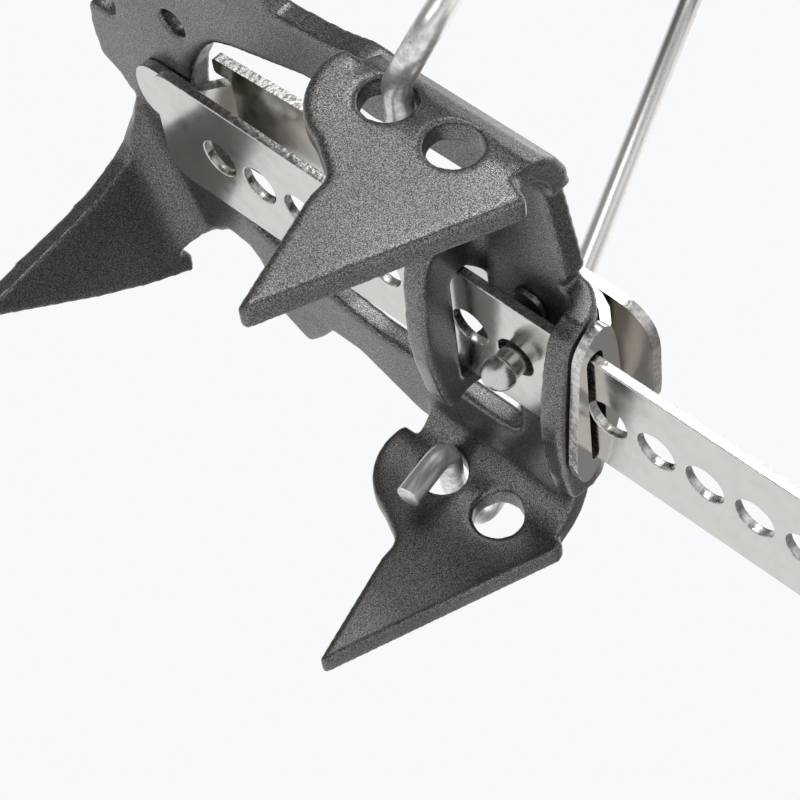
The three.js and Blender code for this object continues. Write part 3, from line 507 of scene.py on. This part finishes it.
@dataclass(frozen=True)
class ShearedNickel:
    """Plated edge of a sheared sheet: bright and rough, with dark flecks."""

    name: str = "nickel_edge"
    dull: Triple = (0.5, 0.488, 0.465)
    bright: Triple = (0.76, 0.745, 0.715)
    fleck_colour: Triple = (0.16, 0.155, 0.15)
    patch_colour: Triple = (0.34, 0.33, 0.31)
    tear: Grain = Grain(1500.0, 3.0, (0.38, 0.62))
    fleck: Grain = Grain(2600.0, 2.0, (0.64, 0.72), 0.55)
    patch: Grain = Grain(330.0, 2.0, (0.56, 0.7), 0.4)
    rough: Pair = (0.18, 0.32)
    fleck_bump: Pair = (0.4, 0.04)
    tear_bump: Pair = (0.6, 0.08)

    def make(self) -> bpy.types.Material:
        """Builds the edge with torn dull and bright spots, dark flecks and wider patches.

        Returns:
            The material.
        """
        g = Graph.paint(self.name)
        tear = g.noise(self.tear)
        fleck = g.noise(self.fleck)
        base = g.cover(tear, self.tear, self.dull, self.bright)
        base = g.cover(fleck, self.fleck, base, self.fleck_colour)
        base = g.cover(g.noise(self.patch), self.patch, base, self.patch_colour)
        rough = g.ramp(tear, g.USUAL, self.rough)
        normal = g.bump(tear, self.tear_bump, g.bump(fleck, self.fleck_bump))
        return g.surface(Base_Color=base, Metallic=1.0, Roughness=rough, Normal=normal)


@dataclass(frozen=True)
class SatinSteel:
    """Drawn stainless steel with streaks along its length.

    Attributes:
        lean: turns about X and Y, in radians, that lay the streaks along the legs of a bail.
        rough: roughness of the bright streaks.
        rougher: how much rougher the dull ones are.
    """

    name: str
    lean: Pair = (0.0, 0.0)
    colour: Triple = (0.9, 0.89, 0.865)
    dull: Triple = (0.62, 0.61, 0.585)
    speck_colour: Triple = (0.3, 0.29, 0.28)
    streak: Grain = Grain(1.0, 3.0, (0.35, 0.6), stretch=(1500.0, 1500.0, 14.0))
    speck: Grain = Grain(2400.0, 2.0, (0.62, 0.74), 0.5)
    rough: float = 0.3
    rougher: float = 0.08
    metal: float = 0.85
    speck_bump: Pair = (0.15, 0.015)
    streak_bump: Pair = (0.25, 0.03)

    def make(self) -> bpy.types.Material:
        """Builds the satin steel, the same on the left and the right, with streaks and specks.

        Returns:
            The material.
        """
        g = Graph.paint(self.name)
        split = g.add("ShaderNodeSeparateXYZ", {0: g.coordinate})
        folded = g.add("ShaderNodeCombineXYZ", {
            "X": split.outputs["X"], "Y": g.combine("ABSOLUTE", split.outputs["Y"]),
            "Z": split.outputs["Z"]})
        g.coordinate = folded.outputs["Vector"]
        streak = g.noise(self.streak, self.lean)
        speck = g.noise(self.speck)
        base = g.cover(streak, self.streak, self.dull, self.colour)
        base = g.cover(speck, self.speck, base, self.speck_colour)
        rough = g.ramp(streak, g.USUAL, (self.rough + self.rougher, self.rough))
        normal = g.bump(streak, self.streak_bump, g.bump(speck, self.speck_bump))
        return g.surface(Base_Color=base, Metallic=self.metal, Roughness=rough, Normal=normal)


@dataclass(frozen=True)
class MouldedRubber:
    """Matt black moulded plastic with a spark-eroded texture."""

    name: str = "cradle_rubber"
    dark: Triple = (0.018, 0.018, 0.02)
    light: Triple = (0.036, 0.036, 0.04)
    grain: Grain = Grain(1900.0, 3.0)
    patch: Grain = Grain(70.0, 2.0, (0.35, 0.7))
    rough: Pair = (0.5, 0.68)
    grain_bump: Pair = (0.4, 0.05)

    def make(self) -> bpy.types.Material:
        """Builds the moulded plastic with a fine leathery grain and dull patches.

        Returns:
            The material.
        """
        g = Graph.paint(self.name)
        patch = g.noise(self.patch)
        base = g.cover(patch, self.patch, self.dark, self.light)
        rough = g.ramp(patch, g.USUAL, self.rough)
        normal = g.bump(g.noise(self.grain), self.grain_bump)
        return g.surface(Base_Color=base, Roughness=rough, Normal=normal)


def dress(obj: bpy.types.Object, material: bpy.types.Material, body: str) -> None:
    """Gives a piece its finish and its body.

    Args:
        obj: the piece.
        material: its finish.
        body: the CAD body it moves with.
    """
    obj.data.materials.clear()
    obj.data.materials.append(material)
    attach(obj, body)
    log.info("piece %s on %s, %d faces", obj.name, body, len(obj.data.polygons))


def dress_edges(obj: bpy.types.Object, material: bpy.types.Material, bend_end: float = NO_BEND) -> None:
    """Gives the sheared edges of a sheet piece their own finish.

    Args:
        obj: the piece, already dressed.
        material: the finish of its edges.
        bend_end: height in bar millimetres below which the sheet stands upright across the bar.
    """
    turned_away = 0.45
    standing = 0.25
    slope_share = 0.8
    obj.data.materials.append(material)
    limit = BENCH.metres(0, 0, bend_end).z
    for face in obj.data.polygons:
        x, y, z = (abs(part) for part in face.normal)
        upright = face.center.z < limit
        flat = x if upright else max(z, x * slope_share)
        edge = y > turned_away or flat < turned_away
        if not upright:
            edge = edge or z < standing
        face.material_index = int(edge)


@dataclass
class Finishes:
    """All finishes of the crampon."""

    coated: bpy.types.Material = field(default_factory=lambda: CoatedSteel().make())
    nickel: bpy.types.Material = field(default_factory=lambda: BrightNickel().make())
    sheared: bpy.types.Material = field(default_factory=lambda: ShearedNickel().make())
    pin: bpy.types.Material = field(
        default_factory=lambda: SatinSteel(
            "pin_steel", colour=(0.6, 0.59, 0.57), rough=0.24, metal=1.0).make())
    heel_wire: bpy.types.Material = field(
        default_factory=lambda: SatinSteel("heel_wire_steel", lean=(-0.143, 0.362)).make())
    toe_wire: bpy.types.Material = field(
        default_factory=lambda: SatinSteel("toe_wire_steel", lean=(-0.1, -0.1)).make())
    rubber: bpy.types.Material = field(default_factory=lambda: MouldedRubber().make())


@dataclass
class PlateSections:
    """The two bent steel plates under heel and toe.

    Attributes:
        heel_voxel: grid step of the heel plate's mesh in millimetres.
        toe_voxel: the same for the toe plate.
        passes: rounds of smoothing that round their edges.
    """

    heel_voxel: float = 0.32
    toe_voxel: float = 0.38
    passes: int = 7

    def build(self, finishes: Finishes) -> None:
        """Rounds the edges of both plates and coats them.

        Args:
            finishes: the finishes of the crampon.
        """
        heel = Tool.rounded("heel_frame", "heel_plate", self.heel_voxel, self.passes)
        dress(heel, finishes.coated, "heel")
        toe = Tool.rounded("toe_frame", "toe_plate", self.toe_voxel, self.passes)
        dress(toe, finishes.coated, "toe")


@dataclass
class LinkBar:
    """Bright perforated bar, pressed from sheet, with its sizes in millimetres.

    Attributes:
        hole: diameter of the holes.
        hole_sides: sides of each punched hole.
        punch_depth: length of the punch, as a multiple of the thickness.
        front_reach: distance from the last hole to the front end.
        corner: radius of the bar's four corners.
        edge: width of its rolled edges.
        edge_angle: degrees above which an edge is rolled.
    """

    width: float = 17.5
    thickness: float = 1.24
    pitch: float = 6.5
    hole: float = 5.07
    holes: int = 26
    hole_sides: int = 48
    punch_depth: float = 4.0
    front_reach: float = 9.0
    corner: float = 3.2
    corner_steps: int = 8
    edge: float = 0.16
    edge_steps: int = 3
    edge_angle: float = 40.0

    def build(self, finishes: Finishes) -> None:
        """Presses the bar from a slab, punches its holes and rolls its edges over.

        Args:
            finishes: the finishes of the crampon.
        """
        length = (self.holes - 1) * self.pitch + REAR_REACH + self.front_reach
        middle = BENCH.metres(length / 2 - REAR_REACH, 0, self.thickness / 2)
        bpy.ops.mesh.primitive_cube_add(size=1, location=middle)
        bar = bpy.context.object
        bar.name = "bar_sheet"
        bar.scale = (length * MM, self.width * MM, self.thickness * MM)
        Tool.settle(bar)
        self._round_corners(bar)
        self._punch(bar)
        Tool.modify(
            bar, "BEVEL", width=self.edge * MM, segments=self.edge_steps, limit_method="ANGLE",
            angle_limit=math.radians(self.edge_angle))
        Tool.smooth(bar)
        Tool.modify(bar, "WEIGHTED_NORMAL", keep_sharp=True)
        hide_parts("link_bar")
        dress(bar, finishes.nickel, "heel")
        dress_edges(bar, finishes.sheared)

    def _round_corners(self, bar: bpy.types.Object) -> None:
        """Bevels the four upright edges of the slab.

        Args:
            bar: the slab.
        """
        Tool.only(bar)
        bpy.ops.object.mode_set(mode="EDIT")
        bpy.ops.mesh.select_all(action="DESELECT")
        bpy.ops.object.mode_set(mode="OBJECT")
        bpy.context.tool_settings.mesh_select_mode = (False, True, False)
        for edge in bar.data.edges:
            a, b = (bar.data.vertices[i].co for i in edge.vertices)
            edge.select = abs(a.z - b.z) > abs(a.x - b.x) + abs(a.y - b.y)
        bpy.ops.object.mode_set(mode="EDIT")
        bpy.ops.mesh.bevel(offset=self.corner * MM, segments=self.corner_steps, affect="EDGES")
        bpy.ops.object.mode_set(mode="OBJECT")

    def _punch(self, bar: bpy.types.Object) -> None:
        """Cuts the row of round holes with one set of cutters.

        Args:
            bar: the slab.
        """
        cutters = []
        for k in range(self.holes):
            bpy.ops.mesh.primitive_cylinder_add(
                vertices=self.hole_sides, radius=self.hole / 2 * MM,
                depth=self.punch_depth * self.thickness * MM,
                location=BENCH.metres(k * self.pitch, 0, self.thickness / 2))
            cutters.append(bpy.context.object)
        Tool.only(cutters[0])
        for cutter in cutters:
            cutter.select_set(True)
        bpy.ops.object.join()
        punch = bpy.context.object
        Tool.modify(bar, "BOOLEAN", operation="DIFFERENCE", object=punch, solver="EXACT")
        bpy.data.objects.remove(punch)


@dataclass
class LockParts:
    """Guide plate, lock lever, lock pin and the small rivets, with their bevels in millimetres.

    Attributes:
        guide_bend_end: height in bar millimetres below which the guide plate stands upright.
    """

    sheet_bevel: float = 0.16
    pin_bevel: float = 0.12
    rivet_bevel: float = 0.1
    guide_bend_end: float = 1.0

    def build(self, finishes: Finishes) -> None:
        """Bevels the sheet parts and turns the pin and rivets smooth.

        Args:
            finishes: the finishes of the crampon.
        """
        guide = Tool.bevelled("guide_plate", "guide_sheet", self.sheet_bevel)
        dress(guide, finishes.nickel, "heel")
        dress_edges(guide, finishes.sheared, self.guide_bend_end)
        lever = Tool.bevelled("lock_lever", "lever_sheet", self.sheet_bevel)
        dress(lever, finishes.nickel, "lever")
        dress_edges(lever, finishes.sheared)
        pin = Tool.bevelled("lock_pin", "locking_pin", self.pin_bevel)
        dress(pin, finishes.pin, "lever")
        # Painted shade: the guide rivets are bright steel, but they take the dark coating so that their
        # shanks below the guide plate show as the dark shade there. Their heads on top of the plate are
        # darkened with them.
        for node in ("guide_rivet_left", "guide_rivet_right"):
            rivet = Tool.bevelled(node, f"{node}_turned", self.rivet_bevel)
            dress(rivet, finishes.coated, "heel")
        for node in ("pivot_rivet", "pivot_spacer", "pivot_washer"):
            rivet = Tool.bevelled(node, f"{node}_turned", self.rivet_bevel)
            dress(rivet, finishes.pin, "heel")


@dataclass
class Bail:
    """A wire bail: hooks inside the plate, two legs and a loop round the boot, in bar millimetres.

    Attributes:
        end: which way the legs lean.
        hole_x: place of the bail holes along the bar.
        plate_half: half the width of the plate over its side spikes.
        leg_half: half the distance between the legs, at the height of the bar's underside.
        lean: how far the legs lean for each millimetre of height.
        draw: how far each leg draws in for each millimetre of height.
        height: height of the loop.
        reach: straight part of the loop on each side.
        depth: depth of the loop's round part.
        wire: diameter of the wire.
        bend: radius of its bends.
        leg_bend: radius of the bend at the foot of each leg.
        plate: thickness of the plate.
        seat: height at which the wire goes through its holes.
        hook_tall: how far each hook goes down inside the plate.
        hook_reach: distance from the plate's inner face to the hook.
        hook_turn: how far the hook's tip lies from the hole, along the bar.
        leg_offset: how far the foot of each leg lies ahead of the hole.
        clear: distance from the plate's outer face to the bend outside it.
        longest_bend: the most of a straight stretch that a bend takes up, as a share.
        round_steps: fineness of the wire's round section.
        merge: distance within which vertices become one.
        tip_bevel: width of the bevel on the wire's cut ends.
        tip_steps: steps across that bevel.
        tip_angle: degrees above which an edge is a cut end.
        shade: degrees below which faces are shaded as one surface.
    """

    end: End
    hole_x: float
    plate_half: float
    leg_half: float
    lean: float
    draw: float
    height: float
    reach: float
    depth: float
    wire: float = 3.1
    bend: float = 3.6
    leg_bend: float = 6.0
    plate: float = 3.0
    seat: float = -0.45
    hook_tall: float = 8.3
    hook_reach: float = 3.84
    hook_turn: float = 1.2
    leg_offset: float = 3.57
    clear: float = 0.6
    longest_bend: float = 0.75
    round_steps: int = 8
    merge: float = 0.001
    tip_bevel: float = 0.3
    tip_steps: int = 3
    tip_angle: float = 60.0
    shade: float = 45.0

    def corners(self) -> list[tuple[Vector, float]]:
        """The left side of the wire, from its hook up to the loop.

        Returns:
            Its corners in bar millimetres, each with the radius of its bend.
        """
        hook_y = self.plate_half - self.plate - self.hook_reach
        base = self.hole_x + self.leg_offset
        low, high = self.seat, self.height
        lean = self.end.value * self.lean
        return [
            (Vector((self.hole_x - self.end.value * self.hook_turn, hook_y, low - self.hook_tall)), 0.0),
            (Vector((self.hole_x, hook_y, low)), self.bend),
            (Vector((self.hole_x, self.plate_half + self.clear, low)), self.bend),
            (Vector((base + lean * low, self.leg_half - self.draw * low, low)), self.leg_bend),
            (Vector((base + lean * high, self.leg_half - self.draw * high, high)), self.bend),
        ]

    def loop(self, steps: int = 48) -> list[Vector]:
        """The half loop round the boot, from left to right.

        Args:
            steps: steps round the loop.

        Returns:
            Places in bar millimetres.
        """
        top = self.corners()[-1][0]
        places = []
        for i in range(steps + 1):
            angle = math.pi * (0.5 - i / steps)
            x = top.x + self.end.value * (self.reach + math.cos(angle) * self.depth)
            places.append(Vector((x, math.sin(angle) * top.y, self.height)))
        return places

    def route(self, turns: int = 10) -> list[Vector]:
        """The whole wire as a chain of places, with each corner drawn as a smooth curve.

        Args:
            turns: steps round each corner.

        Returns:
            Places in bar millimetres.
        """
        loop = self.loop()
        corners = [*self.corners(), (loop[0], 0.0)]
        places = [corners[0][0]]
        for (before, _), (here, radius), (after, _) in zip(corners, corners[1:], corners[2:]):
            back, on = before - here, after - here
            half = back.angle(on) / 2
            longest = min(back.length, on.length) * self.longest_bend
            reach = min(radius / math.tan(half), longest)
            start, stop = here + back.normalized() * reach, here + on.normalized() * reach
            for i in range(turns + 1):
                t = i / turns
                places.append(start * (1 - t) ** 2 + here * (2 * t * (1 - t)) + stop * t ** 2)
        right = [Vector((p.x, -p.y, p.z)) for p in reversed(places)]
        return [*places, *loop, *right]

    def build(self, name: str, node: str) -> bpy.types.Object:
        """Draws the wire along its route, cuts its ends square and breaks their edges.

        Args:
            name: name of the piece.
            node: the CAD node it stands for.

        Returns:
            The wire.
        """
        places = self.route()
        curve = bpy.data.curves.new(name, "CURVE")
        curve.dimensions = "3D"
        curve.bevel_depth = self.wire / 2 * MM
        curve.bevel_resolution = self.round_steps
        curve.use_fill_caps = True
        spline = curve.splines.new("POLY")
        spline.points.add(len(places) - 1)
        for point, place in zip(spline.points, places):
            point.co = (*BENCH.metres(*place), 1.0)
        obj = bpy.data.objects.new(name, curve)
        bpy.context.scene.collection.objects.link(obj)
        Tool.only(obj)
        bpy.ops.object.convert(target="MESH")
        obj = bpy.context.object
        bpy.ops.object.mode_set(mode="EDIT")
        bpy.ops.mesh.select_all(action="SELECT")
        bpy.ops.mesh.remove_doubles(threshold=self.merge * MM)
        bpy.ops.mesh.normals_make_consistent(inside=False)
        bpy.ops.object.mode_set(mode="OBJECT")
        Tool.modify(
            obj, "BEVEL", width=self.tip_bevel * MM, segments=self.tip_steps, limit_method="ANGLE",
            angle_limit=math.radians(self.tip_angle))
        Tool.smooth(obj, self.shade)
        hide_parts(node)
        return obj


@dataclass
class Bails:
    """The two wire bails, at heel and toe.

    Attributes:
        pivot_hole: the hole of the bar that the toe section turns on, counted from 0.
        toe_length: length of the toe section in millimetres.
        toe_share: share of that length from the pivot to the roots of the front side spikes.
        toe_ahead: millimetres from the rear end of those roots to the toe's bail holes.
    """

    pivot_hole: int = 24
    toe_length: float = 84.0
    toe_share: float = 0.56
    toe_ahead: float = 5.9

    def build(self, finishes: Finishes) -> None:
        """Bends both wires and dresses them.

        Args:
            finishes: the finishes of the crampon.
        """
        heel = Bail(
            end=End.HEEL, hole_x=33.0, plate_half=34.85, leg_half=43.33, lean=0.382, draw=0.144,
            height=86.0, reach=22.0, depth=30.0)
        dress(heel.build("heel_bail_wire", "heel_wire"), finishes.heel_wire, "heel_bail")
        toe_hole = self.pivot_hole * LinkBar.pitch + self.toe_length * self.toe_share + self.toe_ahead
        toe = Bail(
            end=End.TOE, hole_x=toe_hole, plate_half=45.0, leg_half=53.0, lean=0.1, draw=0.1,
            height=36.0, reach=18.0, depth=26.0)
        dress(toe.build("toe_bail_wire", "toe_wire"), finishes.toe_wire, "toe_bail")


@dataclass
class Cradles:
    """Moulded cradles on the loops of both bails, with their rivets.

    Attributes:
        voxel: grid step of the mouldings' meshes in millimetres.
        passes: rounds of smoothing that round their edges.
        rivets: rivets on each side of a cradle.
        rivet_bevel: width of the bevel on the rivets' heads in millimetres.
        rivet_steps: steps across that bevel.
    """

    voxel: float = 0.42
    passes: int = 4
    rivets: int = 2
    rivet_bevel: float = 0.18
    rivet_steps: int = 3

    def build(self, finishes: Finishes) -> None:
        """Rounds both mouldings and turns their rivets.

        Args:
            finishes: the finishes of the crampon.
        """
        for section in ("heel", "toe"):
            body = f"{section}_bail"
            shell = Tool.rounded(f"{section}_cradle", f"{section}_moulding", self.voxel, self.passes)
            dress(shell, finishes.rubber, body)
            for side in Side:
                for i in range(self.rivets):
                    node = f"{section}_cradle_rivet_{side.value}_{i + 1}"
                    rivet = Tool.bevelled(node, f"{node}_turned", self.rivet_bevel, self.rivet_steps)
                    dress(rivet, finishes.pin, body)


@dataclass(frozen=True)
class WorldSide:
    """A strength of the world that changes smoothly toward one side of the studio.

    Attributes:
        toward: the side.
        cosines: where the change starts and ends, as cosines from that side.
        strengths: the strengths at the start and at the end.
    """

    toward: Triple
    cosines: Pair
    strengths: Pair

    def strength(self, g: Graph) -> Socket:
        """The strength in each direction of the world.

        Args:
            g: the world's graph.

        Returns:
            The strength.
        """
        dot = g.add(
            "ShaderNodeVectorMath", {0: g.coordinate, 1: Vector(self.toward).normalized()},
            operation="DOT_PRODUCT")
        return g.ramp(dot.outputs["Value"], self.cosines, self.strengths, Course.SOFT)


@dataclass(frozen=True)
class Lamp:
    """A square area lamp: its place and its side in metres, and its power in watts."""

    name: str
    place: Triple
    size: float
    power: float

    def hang(self) -> None:
        """Adds the lamp, aimed at the crampon."""
        data = bpy.data.lights.new(self.name, "AREA")
        data.size = self.size
        data.energy = self.power
        lamp = bpy.data.objects.new(self.name, data)
        bpy.context.scene.collection.objects.link(lamp)
        lamp.location = self.place
        lamp.rotation_euler = Vector(self.place).to_track_quat("Z", "Y").to_euler()


@dataclass
class Studio:
    """Camera, pale floor, soft lamps and a pale world.

    Attributes:
        camera_place: where the camera stands, in bar millimetres.
        right, down, forward: its three directions.
        focal_pixels: its focal length in pixels of the photo.
        photo_pixels: width of the photo in those pixels.
        sensor: width of its sensor in millimetres.
        near: the nearest that it sees, in metres.
        backdrop: colour of the floor and of the world to the eye.
        daylight: colour of the world's light.
        floor_size: side of the floor in metres.
        floor_gap: millimetres from the floor up to the spike tips.
        floor_fade: distances in metres between which the floor comes to glow as the world does.
        floor_lift: how much it glows to the eye, before and after them.
        shine_above, shine_beside: the world's strength in reflections, as two factors.
        glow: its strength as a light.
    """

    camera_place: Triple = (165.086, -225.792, -115.796)
    right: Triple = (0.730552, 0.095114, 0.676200)
    down: Triple = (0.512895, 0.577320, -0.635326)
    forward: Triple = (-0.450812, 0.810959, 0.372979)
    focal_pixels: float = 2601.59
    photo_pixels: float = 800.0
    sensor: float = 36.0
    near: float = 0.005
    backdrop: Triple = (0.939, 0.947, 0.965)
    daylight: Triple = (0.97, 0.98, 1.0)
    floor_size: float = 30.0
    floor_gap: float = 0.3
    floor_fade: Pair = (0.4, 1.7)
    floor_lift: Pair = (0.22, 0.95)
    shine_above: WorldSide = WorldSide((0.55, 0.45, 0.7), (0.4, 0.95), (1.0, 0.25))
    shine_beside: WorldSide = WorldSide((-0.6, -0.75, 0.3), (0.3, 0.85), (1.0, 0.25))
    glow: WorldSide = WorldSide((-0.45, -0.75, -0.5), (-0.6, 0.8), (0.03, 0.36))
    key_lamp: Lamp = Lamp("key_lamp", (-0.35, -0.85, 0.42), 0.5, 2.4)
    top_lamp: Lamp = Lamp("top_lamp", (-0.1, 0.3, 0.95), 1.4, 6.5)

    def build(self) -> None:
        """Sets up the whole studio."""
        self._camera()
        self._floor()
        self._world()
        self.key_lamp.hang()
        self.top_lamp.hang()

    def _camera(self) -> None:
        """Places the camera where the photo was taken from, below the crampon."""
        data = bpy.data.cameras.new("photo_camera")
        data.sensor_width = self.sensor
        data.lens = self.focal_pixels * self.sensor / self.photo_pixels
        data.clip_start = self.near
        camera = bpy.data.objects.new("photo_camera", data)
        bpy.context.scene.collection.objects.link(camera)
        up = -Vector(self.down)
        back = -Vector(self.forward)
        turn = Matrix((Vector(self.right), up, back)).transposed().to_4x4()
        camera.matrix_world = Matrix.Translation(BENCH.metres(*self.camera_place)) @ turn
        bpy.context.scene.camera = camera

    def _floor(self) -> None:
        """A pale floor: seen and lit through from below, left out of reflections, glowing far out."""
        height = CAD_BOX[0][2] - self.floor_gap * MM
        bpy.ops.mesh.primitive_plane_add(size=self.floor_size, location=(0, 0, height))
        floor = bpy.context.object
        floor.name = "studio_floor"
        g = Graph.paint("floor_paint")
        path = g.add("ShaderNodeLightPath")
        side = g.add("ShaderNodeNewGeometry")
        hidden = g.combine("MAXIMUM", path.outputs["Is Shadow Ray"], side.outputs["Backfacing"])
        through = g.combine("MAXIMUM", hidden, path.outputs["Is Glossy Ray"])
        paint = g.add("ShaderNodeBsdfDiffuse", {"Color": (*self.backdrop, 1.0)})
        away = g.add("ShaderNodeVectorMath", {0: g.coordinate}, operation="LENGTH")
        fade = g.ramp(away.outputs["Value"], self.floor_fade, self.floor_lift)
        lift = g.combine("MULTIPLY", path.outputs["Is Camera Ray"], fade)
        lifted = g.add("ShaderNodeEmission", {"Color": (*self.backdrop, 1.0), "Strength": lift})
        pale = g.add("ShaderNodeAddShader", {0: paint.outputs[0], 1: lifted.outputs[0]})
        clear = g.add("ShaderNodeBsdfTransparent")
        mixed = g.add("ShaderNodeMixShader", {0: through, 1: pale.outputs[0], 2: clear.outputs[0]})
        g.close("ShaderNodeOutputMaterial", mixed)
        floor.data.materials.append(g.owner)

    def _world(self) -> None:
        """A pale world: plain to the eye, darker on two sides in reflections, and dim as a light."""
        world = bpy.data.worlds.new("studio_world")
        bpy.context.scene.world = world
        g = Graph(world, "Generated")
        path = g.add("ShaderNodeLightPath")
        plain = g.add("ShaderNodeBackground", {"Color": (*self.backdrop, 1.0)})
        shine = g.combine("MULTIPLY", self.shine_above.strength(g), self.shine_beside.strength(g))
        shiny = g.add("ShaderNodeBackground", {"Color": (*self.backdrop, 1.0), "Strength": shine})
        light = g.add("ShaderNodeBackground", {
            "Color": (*self.daylight, 1.0), "Strength": self.glow.strength(g)})
        glossy = g.add("ShaderNodeMixShader", {
            0: path.outputs["Is Glossy Ray"], 1: light.outputs[0], 2: shiny.outputs[0]})
        seen = g.add("ShaderNodeMixShader", {
            0: path.outputs["Is Camera Ray"], 1: glossy.outputs[0], 2: plain.outputs[0]})
        g.close("ShaderNodeOutputWorld", seen)


def main() -> None:
    """Builds the studio and every piece of the crampon, in order."""
    bpy.context.scene.view_settings.view_transform = "Standard"
    Studio().build()
    finishes = Finishes()
    PlateSections().build(finishes)
    LinkBar().build(finishes)
    LockParts().build(finishes)
    Bails().build(finishes)
    Cradles().build(finishes)


if __name__ == "__main__":
    main()
